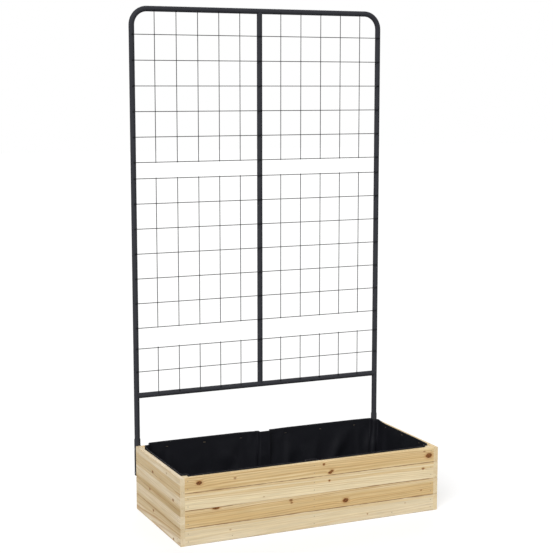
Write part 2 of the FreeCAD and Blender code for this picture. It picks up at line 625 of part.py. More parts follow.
def draw_hoop_path(sketch):
    side = place("post_line")
    foot = size("upper_joint_height")
    top = place("rail_height")
    bend = size("bend_radius")
    shoulder = top - bend
    inner = side - bend
    corner = math.sin(math.pi / 4) * bend
    spots = [(-side, foot), (-side, shoulder), (-inner, top), (inner, top), (side, shoulder), (side, foot)]
    ends = [FreeCAD.Vector(across, up, 0) for across, up in spots]
    left_arc = FreeCAD.Vector(-inner - corner, shoulder + corner, 0)
    right_arc = FreeCAD.Vector(inner + corner, shoulder + corner, 0)
    edges = [Part.LineSegment(ends[0], ends[1]), Part.Arc(ends[1], left_arc, ends[2]),
             Part.LineSegment(ends[2], ends[3]), Part.Arc(ends[3], right_arc, ends[4]),
             Part.LineSegment(ends[4], ends[5])]
    for edge in edges:
        sketch.addGeometry(edge, False)
    held_foot = "sizes.upper_joint_height"
    held_top = "places.rail_height"
    held_shoulder = "places.rail_height - sizes.bend_radius"
    held_inner = "(places.post_line - sizes.bend_radius)"
    hold_point(sketch, 0, 1, "-places.post_line", held_foot)
    hold_point(sketch, 0, 2, "-places.post_line", held_shoulder)
    hold_point(sketch, 2, 1, f"-{held_inner}", held_top)
    hold_point(sketch, 2, 2, held_inner, held_top)
    hold_point(sketch, 4, 1, "places.post_line", held_shoulder)
    hold_point(sketch, 4, 2, "places.post_line", held_foot)
    for arc, before, after, across in ((1, 0, 2, f"-{held_inner}"), (3, 2, 4, held_inner)):
        for line, line_end in ((before, 2), (after, 1)):
            touching = 1 if sketch.getPoint(arc, 1).isEqual(sketch.getPoint(line, line_end), 0.01) else 2
            sketch.addConstraint(Sketcher.Constraint("Coincident", arc, touching, line, line_end))
        constrain(sketch, across, "DistanceX", arc, 3, sketch.getPoint(arc, 3).x)
    return [f"Edge{index + 1}" for index in range(len(edges))]


def make_hoop():
    label = "trellis_hoop"
    body = new_body(label)
    path = new_sketch(body, f"{label}_path", "XZ_Plane")
    path_edges = draw_hoop_path(path)
    section = new_sketch(body, f"{label}_section", "XY_Plane", "sizes.upper_joint_height")
    for radius in ("places.tube_radius", "places.tube_bore"):
        draw_circle(section, "-places.post_line", "0", radius)
    tube = body.newObject("PartDesign::AdditivePipe", f"{label}_tube")
    tube.Profile = section
    tube.Spine = (path, path_edges)
    doc.recompute()
    rings = [
        ("neck", "places.neck_radius", "sizes.upper_joint_height - sizes.neck_length",
         "sizes.neck_length + sizes.neck_shoulder"),
        ("shoulder", "places.tube_bore + sizes.tube_wall / 2", "sizes.upper_joint_height",
         "sizes.neck_shoulder"),
    ]
    for name, radius, lift, length in rings:
        ring = new_sketch(body, f"{label}_{name}_ring", "XY_Plane", lift)
        for side in ("-places.post_line", "places.post_line"):
            draw_circle(ring, side, "0", radius)
            draw_circle(ring, side, "0", "places.neck_bore")
        pad(body, ring, f"{label}_{name}", length)
    screws = [(side, "sizes.upper_joint_height - sizes.joint_screw_drop")
              for side in ("-places.post_line", "places.post_line")]
    drill(body, f"{label}_screw_holes", "XZ_Plane", screws, "sizes.joint_screw_diameter / 2")
    put(body, "0", "places.tube_line")


def make_crossbar():
    body = new_body("crossbar")
    section = new_sketch(body, "crossbar_section", "YZ_Plane")
    for radius in ("places.tube_radius", "places.tube_bore"):
        draw_circle(section, "0", "0", radius)
    pad(body, section, "crossbar_run", "2 * (places.post_line - sizes.cope_tip)", symmetric=True)
    drill(body, "crossbar_copes", "XY_Plane", [("-places.post_line", "0"), ("places.post_line", "0")],
          "places.tube_radius", "2 * places.side_face", symmetric=True)
    put(body, "0", "places.tube_line", "sizes.crossbar_height")


def make_trellis():
    make_hoop()
    make_centre_posts()
    for side, x in (("left", "-places.post_line"), ("right", "places.post_line")):
        make_middle_post(f"post_middle_{side}", x)
        make_lower_post(f"post_lower_{side}", x)
    make_crossbar()


# Mesh: rows welded to the front of the posts, columns welded behind the rows

def make_wire(name, along_x, length, x, y, z):
    wire = doc.addObject("Part::Cylinder", name)
    wire.setExpression("Radius", "places.wire_radius")
    wire.setExpression("Height", length)
    if along_x:
        wire.Placement = FreeCAD.Placement(FreeCAD.Vector(), FreeCAD.Rotation(AXIS_Z, AXIS_X))
    put(wire, x, y, z)
    return wire


def make_mesh(label, rows, low, high):
    half_row = "(places.post_line + sizes.wire_overhang)"
    wires = []
    for index, row in enumerate(rows, start=1):
        name = f"{label}_row_{index}"
        wires.append(make_wire(name, True, f"2 * {half_row}", f"-{half_row}", "places.row_line", row))
    count = int(size("column_count"))
    for index in range(1, count):
        if 2 * index == count:
            continue
        across = f"{index - count / 2} * places.column_pitch"
        wires.append(make_wire(f"{label}_column_{index}", False, f"{high} - ({low})", across,
                               "places.column_line", low))
    mesh = doc.addObject("Part::Compound", label)
    mesh.Label = label
    mesh.Links = wires
    parts[label] = mesh


def make_meshes():
    upper_top = "places.rail_height"
    upper_rows = [f"{upper_top} - {index} * places.upper_row_pitch"
                  for index in range(1, int(size("upper_row_count")) + 1)]
    make_mesh("mesh_upper", upper_rows, f"{upper_rows[-1]} - sizes.wire_overhang",
              f"{upper_top} - places.column_landing")
    middle_top = "sizes.upper_joint_height - sizes.middle_mesh_drop"
    middle_rows = [f"{middle_top} - {index} * places.middle_row_pitch"
                   for index in range(int(size("middle_row_count")))]
    make_mesh("mesh_middle", middle_rows, f"{middle_rows[-1]} - sizes.wire_overhang",
              f"{middle_top} + sizes.wire_overhang")
    lower_top = "sizes.lower_joint_height - sizes.lower_mesh_drop"
    lower_rows = [lower_top, "sizes.crossbar_height + sizes.lower_row_rise"]
    make_mesh("mesh_lower", lower_rows, "sizes.crossbar_height + places.column_landing",
              f"{lower_top} + sizes.wire_overhang")


# Legs: sleeves, caps and brackets that hold the outer posts to the back wall

def make_sleeve(label, x):
    body = new_body(label)
    section = new_sketch(body, f"{label}_section", "XY_Plane")
    for radius in ("places.sleeve_diameter / 2", "places.sleeve_bore"):
        draw_circle(section, "0", "0", radius)
    run = pad(body, section, f"{label}_run", "places.sleeve_length")
    height = place("sleeve_length")
    outside = place("sleeve_diameter") / 2
    ease_edges(body, run, f"{label}_eased",
               lambda edge: isinstance(edge.Curve, Part.Circle) and edge.Curve.Radius > outside - 0.01
               and abs(edge.CenterOfMass.z - height) < 0.01, "sizes.seam_bevel")
    bolts = [("0", "places.bolt_high - sizes.sleeve_bottom"), ("0", "places.bolt_low - sizes.sleeve_bottom")]
    drill(body, f"{label}_bolt_holes", "YZ_Plane", bolts, "places.bolt_hole", "2 * places.side_face",
          symmetric=True)
    put(body, x, "places.tube_line", "sizes.sleeve_bottom")


def make_cap(label, x):
    body = new_body(label)
    section = new_sketch(body, f"{label}_section", "XY_Plane")
    draw_circle(section, "0", "0", "places.sleeve_diameter / 2")
    flange = pad(body, section, f"{label}_flange", "sizes.cap_flange", backwards=True)
    bottom = -size("cap_flange")
    ease_edges(body, flange, f"{label}_rounded", lambda edge: abs(edge.CenterOfMass.z - bottom) < 0.01,
               "sizes.cap_round", "Fillet")
    plug = new_sketch(body, f"{label}_plug_section", "XY_Plane")
    draw_circle(plug, "0", "0", "places.tube_bore - sizes.cap_plug_gap")
    pad(body, plug, f"{label}_plug", "sizes.cap_plug_length")
    put(body, x, "places.tube_line", "sizes.sleeve_bottom")


def make_bracket(label, sign):
    # One wing lies on the wall, the other stands beside the sleeve. Their corner is the origin.
    inwards = "-" if sign > 0 else ""
    wing = f"{inwards}sizes.bracket_wing"
    steel = f"{inwards}sizes.bracket_thickness"
    body = new_body(label)
    outline = new_sketch(body, f"{label}_outline", "XY_Plane")
    draw_outline(outline, [("0", "0"), (wing, "0"), (wing, "sizes.bracket_thickness"),
                           (steel, "sizes.bracket_thickness"), (steel, "places.sleeve_diameter"),
                           ("0", "places.sleeve_diameter")])
    run = pad(body, outline, f"{label}_run", "places.bracket_length")
    reach = size("bracket_wing")
    ease_edges(body, run, f"{label}_rounded",
               lambda edge: runs_along(edge, AXIS_Y) and abs(abs(edge.CenterOfMass.x) - reach) < 0.01,
               "sizes.bracket_round", "Fillet")
    screw_line = f"{inwards}(places.bracket_corner - places.bracket_screw_line)"
    screws = [(screw_line, f"places.{name} - sizes.sleeve_bottom")
              for name in ("bracket_screw_high", "bracket_screw_low")]
    drill(body, f"{label}_screw_holes", "XZ_Plane", screws, "sizes.bracket_screw_diameter / 2",
          "2 * sizes.bracket_thickness", symmetric=True)
    bolts = [("places.sleeve_diameter / 2", f"places.{name} - sizes.sleeve_bottom")
             for name in ("bolt_high", "bolt_low")]
    drill(body, f"{label}_bolt_holes", "YZ_Plane", bolts, "places.bolt_hole",
          "4 * sizes.bracket_thickness", symmetric=True)
    put(body, f"{sign} * places.bracket_corner", "places.back_face", "sizes.sleeve_bottom")


def make_legs():
    for side, sign, x in (("left", -1, "-places.post_line"), ("right", 1, "places.post_line")):
        make_sleeve(f"leg_sleeve_{side}", x)
        make_cap(f"leg_cap_{side}", x)
        make_bracket(f"leg_bracket_{side}", sign)


# Fasteners. Each group is one sub-part with a solid for each piece.

def turned(points):
    corners = [FreeCAD.Vector(radius, 0, height) for radius, height in points]
    outline = Part.makePolygon(corners + corners[:1])
    return Part.Face(outline).revolve(FreeCAD.Vector(), AXIS_Z, 360)


def domed_screw(shank, length, head, head_height, point, tip):
    # The head's underside lies on z = 0, and the shank goes down to a tip of that radius.
    rim = size("head_rim")
    rise = head_height - rim
    curve = ((head / 2) ** 2 + rise ** 2) / (2 * rise)
    turn = math.asin(head / 2 / curve) / 2
    halfway = FreeCAD.Vector(curve * math.sin(turn), 0, head_height - curve + curve * math.cos(turn))
    crown = Part.Arc(FreeCAD.Vector(0, 0, head_height), halfway, FreeCAD.Vector(head / 2, 0, rim)).toShape()
    corners = [(head / 2, rim), (head / 2, 0), (shank / 2, 0), (shank / 2, point - length),
               (tip, -length), (0, -length), (0, head_height)]
    spots = [FreeCAD.Vector(radius, 0, height) for radius, height in corners]
    sides = [Part.LineSegment(start, end).toShape() for start, end in zip(spots, spots[1:])]
    screw = Part.Face(Part.Wire([crown] + sides)).revolve(FreeCAD.Vector(), AXIS_Z, 360)
    slot_length = size("recess_length")
    slot_width = size("recess_width")
    for across, along in ((slot_length, slot_width), (slot_width, slot_length)):
        corner = FreeCAD.Vector(-across / 2, -along / 2, head_height - size("recess_depth"))
        screw = screw.cut(Part.makeBox(across, along, head_height, corner))
    return screw


def facing(solid, spot, direction):
    turn = FreeCAD.Rotation(AXIS_Z, FreeCAD.Vector(*direction))
    copy = solid.copy()
    copy.Placement = FreeCAD.Placement(FreeCAD.Vector(*spot), turn)
    return copy


def add_group(label, solids):
    group = doc.addObject("Part::Feature", label)
    group.Label = label
    group.Shape = Part.makeCompound(solids)
    group.Placement = FreeCAD.Placement()
    parts[label] = group


def make_nails():
    radius = size("nail_diameter") / 2
    head = size("nail_head_diameter") / 2
    thickness = size("nail_head_thickness")
    length = size("nail_length")
    nail = turned([(0, 0), (head, 0), (head, -thickness), (radius, -thickness),
                   (radius, size("nail_point") - length), (0, -length)])
    cover = size("board_cover")
    nails = []
    for course in range(int(size("course_count"))):
        for offset in (size("long_nail_low"), size("long_nail_high")):
            for x in (-place("long_nail_line"), 0, place("long_nail_line")):
                nails.append(facing(nail, (x, place("front_face"), course * cover + offset), (0, -1, 0)))
                nails.append(facing(nail, (x, place("back_face"), course * cover + offset), (0, 1, 0)))
        for offset in (size("side_nail_low"), size("side_nail_high")):
            for reach in (-place("side_nail_line"), place("side_nail_line")):
                for sign in (-1, 1):
                    spot = (sign * place("side_face"), place("box_middle") + reach, course * cover + offset)
                    nails.append(facing(nail, spot, (sign, 0, 0)))
    for x in (-place("ledger_nail_line"), place("ledger_nail_line")):
        nails.append(facing(nail, (x, place("front_face"), size("long_nail_low")), (0, -1, 0)))
        nails.append(facing(nail, (x, place("back_face"), size("long_nail_low")), (0, 1, 0)))
    count = int(size("slat_count"))
    nail_line = place("inner_reach") - size("ledger_depth") / 2
    for index in range(count):
        middle = (index - (count - 1) / 2) * place("slat_pitch")
        for x in (middle - size("slat_nail_reach"), middle + size("slat_nail_reach")):
            for reach in (-nail_line, nail_line):
                spot = (x, place("box_middle") + reach, place("base_top"))
                nails.append(facing(nail, spot, (0, 0, 1)))
    add_group("nails", nails)


def make_staples():
    half = size("staple_crown") / 2
    wire = size("staple_wire")
    leg = size("staple_leg")
    corners = [(-half, wire), (half, wire), (half, -leg), (half - wire, -leg), (half - wire, 0),
               (wire - half, 0), (wire - half, -leg), (-half, -leg)]
    spots = [FreeCAD.Vector(across, -wire / 2, up) for across, up in corners]
    staple = Part.Face(Part.makePolygon(spots + spots[:1])).extrude(FreeCAD.Vector(0, wire, 0))
    height = place("rim_height") - size("staple_drop")
    long_count = int(size("long_staple_count"))
    side_count = int(size("side_staple_count"))
    long_start = size("batten_width") / 2
    long_step = (place("inner_side") - size("corner_post_width") - long_start) / long_count
    side_step = 2 * (place("inner_reach") - size("corner_post_width")) / side_count
    staples = []
    for index in range(long_count):
        reach = long_start + (index + 0.5) * long_step
        for x, sign in ((reach, 1), (reach, -1), (-reach, 1), (-reach, -1)):
            y = place("box_middle") + sign * (place("inner_reach") - place("liner_inset"))
            staples.append((FreeCAD.Vector(x, y, height), AXIS_X, FreeCAD.Vector(0, -sign, 0)))
    for index in range(side_count):
        y = place("box_middle") + (index - (side_count - 1) / 2) * side_step
        for sign in (-1, 1):
            x = sign * (place("inner_side") - place("liner_inset"))
            staples.append((FreeCAD.Vector(x, y, height), AXIS_Y, FreeCAD.Vector(-sign, 0, 0)))
    solids = []
    for spot, run, inwards in staples:
        copy = staple.copy()
        copy.Placement = FreeCAD.Placement(spot, FreeCAD.Rotation(run, FreeCAD.Vector(), inwards, "ZXY"))
        solids.append(copy)
    add_group("liner_staples", solids)


def make_leg_bolts():
    bevel = size("bolt_end_bevel")
    bolt = domed_screw(size("bolt_diameter"), place("bolt_length"), size("bolt_head_diameter"),
                       size("bolt_head_height"), bevel, size("bolt_diameter") / 2 - bevel)
    corners = []
    for index in range(6):
        turn = math.radians(60 * index)
        reach = size("nut_width") / 2 / math.cos(math.radians(30))
        corners.append(FreeCAD.Vector(reach * math.cos(turn), reach * math.sin(turn), 0))
    block = Part.Face(Part.makePolygon(corners + corners[:1])).extrude(AXIS_Z * size("nut_height"))
    nut = block.cut(Part.makeCylinder(size("bolt_diameter") / 2, size("nut_height")))
    outside = place("post_line") + place("sleeve_diameter") / 2
    inside = place("bracket_corner") - size("bracket_thickness")
    bolts = []
    nuts = []
    for sign in (-1, 1):
        for height in (place("bolt_high"), place("bolt_low")):
            bolts.append(facing(bolt, (sign * outside, place("tube_line"), height), (sign, 0, 0)))
            nuts.append(facing(nut, (sign * inside, place("tube_line"), height), (-sign, 0, 0)))
    add_group("leg_bolts", bolts)
    add_group("leg_nuts", nuts)


def make_bracket_screws():
    screw = domed_screw(size("bracket_screw_diameter"), size("bracket_screw_length"),
                        size("bracket_screw_head"), size("bracket_screw_head_height"),
                        size("bracket_screw_point"), size("screw_tip"))
    seat = place("back_face") + size("bracket_thickness")
    screws = [facing(screw, (sign * place("bracket_screw_line"), seat, height), (0, 1, 0))
              for sign in (-1, 1) for height in (place("bracket_screw_high"), place("bracket_screw_low"))]
    add_group("bracket_screws", screws)


def make_joint_screws():
    bevel = size("joint_screw_bevel")
    screw = domed_screw(size("joint_screw_diameter"), size("joint_screw_length"),
                        size("joint_screw_head"), size("joint_screw_head_height"),
                        bevel, size("joint_screw_diameter") / 2 - bevel)
    seat = place("tube_line") + place("tube_radius")
    drop = size("joint_screw_drop")
    screws = [facing(screw, (x, seat, joint - drop), (0, 1, 0))
              for x in (-place("post_line"), 0, place("post_line"))
              for joint in (size("upper_joint_height"), size("lower_joint_height"))]
    add_group("joint_screws", screws)


def check_and_write():
    doc.recompute()
    failed = [item.Name for item in doc.Objects if {"Invalid", "Error"} & set(item.State)]
    if failed:
        raise RuntimeError(f"failed objects: {failed}")
    for feature in cuts:
        if feature.Shape.Volume > feature.BaseFeature.Shape.Volume - 0.01:
            raise RuntimeError(f"{feature.Name} cuts nothing")
    for label, item in parts.items():
        if item.Shape.isNull() or not item.Shape.isValid() or not item.Shape.Solids:
            raise RuntimeError(f"{label} has no valid solid")
    os.makedirs("parts", exist_ok=True)
    for label, item in parts.items():
        item.Shape.exportStep(f"parts/{label}.step")
    print(f"{len(parts)} sub-parts written")


make_walls()
make_inner_frame()
make_liner()
make_trellis()
make_meshes()
make_legs()
make_nails()
make_staples()
make_leg_bolts()
make_bracket_screws()
make_joint_screws()
check_and_write()
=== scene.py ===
import json
import math
import random

import bmesh
import bpy
import mathutils.noise
from mathutils import Euler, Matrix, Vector


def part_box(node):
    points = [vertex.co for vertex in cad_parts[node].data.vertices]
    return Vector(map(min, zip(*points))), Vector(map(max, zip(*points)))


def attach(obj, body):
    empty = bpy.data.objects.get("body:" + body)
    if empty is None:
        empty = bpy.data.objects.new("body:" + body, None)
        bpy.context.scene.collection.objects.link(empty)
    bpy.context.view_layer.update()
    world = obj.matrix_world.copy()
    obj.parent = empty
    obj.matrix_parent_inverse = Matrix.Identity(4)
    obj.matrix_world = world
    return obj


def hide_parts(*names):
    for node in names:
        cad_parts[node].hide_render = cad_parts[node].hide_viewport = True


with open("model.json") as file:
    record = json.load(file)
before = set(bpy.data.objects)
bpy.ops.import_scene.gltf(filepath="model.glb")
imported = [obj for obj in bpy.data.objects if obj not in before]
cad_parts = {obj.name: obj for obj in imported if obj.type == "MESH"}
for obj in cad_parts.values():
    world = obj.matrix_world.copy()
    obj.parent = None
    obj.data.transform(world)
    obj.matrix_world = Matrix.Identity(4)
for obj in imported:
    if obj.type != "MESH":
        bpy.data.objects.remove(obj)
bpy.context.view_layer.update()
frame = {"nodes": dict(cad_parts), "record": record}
nodes = frame["nodes"]
print("frame loaded:", len(nodes), "nodes")

millimetre = 0.001


# Camera, floor and light

view = {
    "place": (-2.2124, -4.8111, 1.6842),
    "pitchDown": 7.926,
    "turnRight": 24.305,
    "lens": 88.11,
    "floorSize": 60.0,
    "worldLevel": 0.2,
    "keyLevel": 3.0,
    "keyTurn": (54, 0, -42),
    "fillLevel": 0.32,
    "fillTurn": (58, 0, 34),
    "backLevel": 1.1,
    "backTurn": (58, 0, 156),
    "lampSpread": 40,
    "floorPaint": 0.5,
    "floorGlow": 0.56,
}


# screen values 0..255 to the linear values that shaders take
def screenColour(red, green, blue):
    linear = []
    for value in (red, green, blue):
        share = value / 255
        linear.append(share / 12.92 if share <= 0.04045 else ((share + 0.055) / 1.055) ** 2.4)
    return (*linear, 1.0)


def addNode(tree, kind, inputs=None, **settings):
    node = tree.nodes.new("ShaderNode" + kind)
    for name, value in settings.items():
        setattr(node, name, value)
    for key, value in (inputs or {}).items():
        if isinstance(value, bpy.types.NodeSocket):
            tree.links.new(value, node.inputs[key])
        else:
            node.inputs[key].default_value = value
    return node


def calc(tree, operation, *values, clamp=False):
    node = addNode(tree, "Math", dict(enumerate(values)), operation=operation, use_clamp=clamp)
    return node.outputs[0]


def vectorCalc(tree, operation, *values, output=0):
    node = addNode(tree, "VectorMath", dict(enumerate(values)), operation=operation)
    return node.outputs[output]


# 0 below low and 1 above high; high under low turns it round
def ramp(tree, value, low, high, smooth=True):
    kind = "SMOOTHSTEP" if smooth else "LINEAR"
    if high < low:
        inputs = {"Value": value, "From Min": high, "From Max": low, "To Min": 1.0, "To Max": 0.0}
    else:
        inputs = {"Value": value, "From Min": low, "From Max": high}
    return addNode(tree, "MapRange", inputs, interpolation_type=kind).outputs["Result"]


def mixColour(tree, share, first, second, kind="MIX"):
    node = addNode(tree, "Mix", data_type="RGBA", blend_type=kind)
    for key, value in ((0, share), (6, first), (7, second)):
        if isinstance(value, bpy.types.NodeSocket):
            tree.links.new(value, node.inputs[key])
        else:
            node.inputs[key].default_value = value
    return node.outputs[2]


def noise(tree, vector, scale, detail=3.0, roughness=0.55):
    inputs = {"Vector": vector, "Scale": scale, "Detail": detail, "Roughness": roughness}
    return addNode(tree, "TexNoise", inputs).outputs[0]


def newMaterial(name, **shaderValues):
    material = bpy.data.materials.new(name)
    material.use_nodes = True
    tree = material.node_tree
    tree.nodes.clear()
    shader = addNode(tree, "BsdfPrincipled")
    output = addNode(tree, "OutputMaterial")
    tree.links.new(shader.outputs[0], output.inputs["Surface"])
    for key, value in shaderValues.items():
        shader.inputs[key.replace("_", " ")].default_value = value
    return material, tree, shader


def addBump(tree, shader, height, strength, distance):
    bump = addNode(tree, "Bump", {"Height": height, "Strength": strength, "Distance": distance})
    tree.links.new(bump.outputs[0], shader.inputs["Normal"])


def objectPoint(tree):
    return addNode(tree, "TexCoord").outputs["Object"]


def setCamera():
    data = bpy.data.cameras.new("camera")
    data.lens = view["lens"]
    data.clip_end = 200
    camera = bpy.data.objects.new("camera", data)
    camera.location = view["place"]
    camera.rotation_euler = (math.radians(90 - view["pitchDown"]), 0, math.radians(-view["turnRight"]))
    bpy.context.scene.collection.objects.link(camera)
    bpy.context.scene.camera = camera


# 1 for rays that come from the camera or over metal or through glass
def seenWhite(tree):
    path = addNode(tree, "LightPath").outputs
    straight = calc(tree, "MAXIMUM", path["Is Camera Ray"], path["Is Glossy Ray"])
    return calc(tree, "MAXIMUM", straight, path["Is Transmission Ray"])


def setWorld():
    world = bpy.data.worlds.new("studio")
    bpy.context.scene.world = world
    world.use_nodes = True
    tree = world.node_tree
    tree.nodes.clear()
    level = ramp(tree, seenWhite(tree), 0.0, 1.0, smooth=False)
    strength = addNode(tree, "MapRange", {"Value": level, "To Min": view["worldLevel"], "To Max": 1.0})
    background = addNode(tree, "Background", {"Strength": strength.outputs[0]})
    output = addNode(tree, "OutputWorld")
    tree.links.new(background.outputs[0], output.inputs["Surface"])
    background.inputs["Color"].default_value = (1, 1, 1, 1)


def setFloor():
    sheet = bmesh.new()
    bmesh.ops.create_grid(sheet, x_segments=1, y_segments=1, size=view["floorSize"] / 2)
    data = bpy.data.meshes.new("floor")
    sheet.to_mesh(data)
    sheet.free()
    floor = bpy.data.objects.new("floor", data)
    bpy.context.scene.collection.objects.link(floor)
    material, tree, shader = newMaterial("floorPaint", Roughness=0.9)
    shader.inputs["Base Color"].default_value = (view["floorPaint"], view["floorPaint"], view["floorPaint"], 1)
    shader.inputs["Specular IOR Level"].default_value = 0.0
    glow = calc(tree, "MULTIPLY", seenWhite(tree), view["floorGlow"])
    shine = addNode(tree, "Emission", {"Color": (1, 1, 1, 1), "Strength": glow})
    both = addNode(tree, "AddShader")
    tree.links.new(shader.outputs[0], both.inputs[0])
    tree.links.new(shine.outputs[0], both.inputs[1])
    output = next(node for node in tree.nodes if node.bl_idname == "ShaderNodeOutputMaterial")
    tree.links.new(both.outputs[0], output.inputs["Surface"])
    data.materials.append(material)


def setLamp(name, level, turn):
    data = bpy.data.lights.new(name, "SUN")
    data.energy = level
    data.angle = math.radians(view["lampSpread"])
    lamp = bpy.data.objects.new(name, data)
    lamp.rotation_euler = [math.radians(value) for value in turn]
    bpy.context.scene.collection.objects.link(lamp)


setCamera()
setWorld()
setFloor()
setLamp("keyLamp", view["keyLevel"], view["keyTurn"])
setLamp("fillLamp", view["fillLevel"], view["fillTurn"])
setLamp("backLamp", view["backLevel"], view["backTurn"])
bpy.context.scene.view_settings.view_transform = "Standard"
print("camera, floor and light are set")


# Wood. Every board is a slice of its own log: rings about a slightly tilted heart line, knots that
# bend them, fine fibres along the grain, and a darker line of dust and painted shade where the bevelled edges meet.

wood = {
    "ringStep": 5.2,
    "ringWander": 2.6,
    "heartWander": 16,
    "fibreContrast": 0.36,
    "blotchContrast": 0.6,
    # width and strength of the line of dust and painted shade where boards meet; the left side gets less
    "dustAndShadeWidth": 4.2,
    "dustAndShadeStrength": 0.95,
    "leftDustAndShade": 0.5,
    "knotBrown": screenColour(136, 84, 36),
    "knotHeart": screenColour(82, 45, 18),
    "knotHalo": screenColour(184, 134, 80),
    # brown of the dust and painted shade in the joints between boards
    "dustAndShadeBrown": screenColour(128, 86, 44),
    "endTone": screenColour(220, 204, 170),
    "endPale": 0.5,
    "knotLift": 0.36,
    "jointFade": 0.7,
}

grainAxes = {"X": ("X", "Y", "Z"), "Y": ("Y", "X", "Z"), "Z": ("Z", "X", "Y")}   # along, deep, up


def woodMaterial(name, look):
    material, tree, shader = newMaterial(name, Specular_IOR_Level=0.28)
    split = addNode(tree, "SeparateXYZ", {0: objectPoint(tree)}).outputs
    along, deep, up = (split[axis] for axis in grainAxes[look["grain"]])
    placed = addNode(tree, "CombineXYZ", {0: along, 1: deep, 2: up}).outputs[0]
    seed = look["seed"]
    heartDeep, heartUp = look["heart"]
    tiltDeep, tiltUp = look["tilt"]
    log = addNode(tree, "Mapping", {
        "Vector": placed,
        "Location": (seed * 1.7, -heartDeep * millimetre, -heartUp * millimetre),
        "Rotation": (0, math.radians(tiltUp), math.radians(tiltDeep)),
    }, vector_type="POINT").outputs[0]
    logSplit = addNode(tree, "SeparateXYZ", {0: log}).outputs
    stretched = vectorCalc(tree, "MULTIPLY", log, (0.9, 5.0, 5.0))
    wander = calc(tree, "SUBTRACT", noise(tree, stretched, 1.6, 2.0), 0.5)
    shiftUp = calc(tree, "MULTIPLY_ADD", wander, wood["heartWander"] * millimetre * 2, logSplit["Z"])
    radius = calc(tree, "SQRT", calc(tree, "ADD", calc(tree, "MULTIPLY", logSplit["Y"], logSplit["Y"]),
                                     calc(tree, "MULTIPLY", shiftUp, shiftUp)))
    core, halo = None, None
    for knotAlong, knotUp, knotWidth, knotHeight, turn, depth in look["knots"]:
        offset = addNode(tree, "CombineXYZ", {
            0: calc(tree, "SUBTRACT", along, knotAlong * millimetre),
            1: calc(tree, "SUBTRACT", up, knotUp * millimetre),
        }).outputs[0]
        turned = addNode(tree, "Mapping", {
            "Vector": offset,
            "Rotation": (0, 0, math.radians(turn)),
            "Scale": (1 / (knotWidth * millimetre), 1 / (knotHeight * millimetre), 1.0),
        }).outputs[0]
        reach = vectorCalc(tree, "LENGTH", turned, output=1)
        ragged = calc(tree, "MULTIPLY_ADD", noise(tree, turned, 1.4, 3.0), 0.7,
                      calc(tree, "SUBTRACT", reach, 0.35))
        squared = calc(tree, "MULTIPLY", reach, reach)
        swell = calc(tree, "EXPONENT", calc(tree, "MULTIPLY", squared, -0.3))
        lift = (knotWidth + knotHeight) * wood["knotLift"] * millimetre
        radius = calc(tree, "MULTIPLY_ADD", swell, lift, radius)
        newCore = calc(tree, "MULTIPLY", ramp(tree, ragged, 1.16, 0.92), depth)
        newHalo = calc(tree, "MULTIPLY", ramp(tree, ragged, 2.1, 0.9), depth * 0.6)
        core = newCore if core is None else calc(tree, "MAXIMUM", core, newCore)
        halo = newHalo if halo is None else calc(tree, "MAXIMUM", halo, newHalo)

    jitter = noise(tree, vectorCalc(tree, "MULTIPLY", log, (1.2, 40.0, 40.0)), 4.0, 3.0)
    wandered = calc(tree, "MULTIPLY_ADD", jitter, wood["ringWander"] * millimetre, radius)
    rings = calc(tree, "DIVIDE", wandered, look.get("ringStep", wood["ringStep"]) * millimetre)
    phase = calc(tree, "FRACT", rings)
    late = calc(tree, "MULTIPLY", ramp(tree, phase, 0.25, 0.86), ramp(tree, phase, 1.0, 0.9))
    ringTone = noise(tree, addNode(tree, "CombineXYZ", {0: calc(tree, "FLOOR", rings)}).outputs[0], 0.73, 0.0)
    late = calc(tree, "MULTIPLY", late, ramp(tree, ringTone, 0.3, 0.7))

    fibre = noise(tree, vectorCalc(tree, "MULTIPLY", placed, (9.0, 620.0, 620.0)), 1.0, 3.0, 0.65)
    streak = noise(tree, vectorCalc(tree, "MULTIPLY", log, (1.1, 70.0, 70.0)), 1.0, 2.0)
    blotch = noise(tree, vectorCalc(tree, "MULTIPLY", log, (2.6, 12.0, 12.0)), 1.0, 2.0)

    colour = mixColour(tree, calc(tree, "MULTIPLY", ramp(tree, blotch, 0.35, 0.66), wood["blotchContrast"]),
                       look["light"], look["warm"])
    for bandLow, bandHigh, bandColour, share in look.get("bands", ()):
        wavy = calc(tree, "MULTIPLY_ADD", calc(tree, "SUBTRACT", streak, 0.5), 0.012, up)
        inside = calc(tree, "MULTIPLY",
                      ramp(tree, wavy, (bandLow - 1.5) * millimetre, (bandLow + 1.5) * millimetre),
                      ramp(tree, wavy, (bandHigh + 1.5) * millimetre, (bandHigh - 1.5) * millimetre))
        colour = mixColour(tree, calc(tree, "MULTIPLY", inside, share), colour, bandColour)
    colour = mixColour(tree, calc(tree, "MULTIPLY", ramp(tree, streak, 0.46, 0.62), 0.6), colour, look["warm"])
    colour = mixColour(tree, calc(tree, "MULTIPLY", late, look.get("ringContrast", 0.8)), colour, look["late"])
    fibreTone = calc(tree, "MULTIPLY_ADD", calc(tree, "SUBTRACT", fibre, 0.5), wood["fibreContrast"] * 2, 1.0)
    fibreGrey = addNode(tree, "CombineColor", {0: fibreTone, 1: fibreTone, 2: fibreTone}).outputs[0]
    colour = mixColour(tree, 1.0, colour, fibreGrey, kind="MULTIPLY")

    normal = addNode(tree, "SeparateXYZ", {0: addNode(tree, "TexCoord").outputs["Normal"]}).outputs
    endGrain = ramp(tree, calc(tree, "ABSOLUTE", normal[look["grain"]]), 0.75, 0.9)
    colour = mixColour(tree, calc(tree, "MULTIPLY", endGrain, wood["endPale"]), colour, wood["endTone"])

    if core is not None:
        colour = mixColour(tree, halo, colour, wood["knotHalo"])
        rough = ramp(tree, noise(tree, placed, 260.0, 2.0), 0.4, 0.6)
        knotTone = mixColour(tree, rough, wood["knotHeart"], wood["knotBrown"])
        colour = mixColour(tree, core, colour, knotTone)
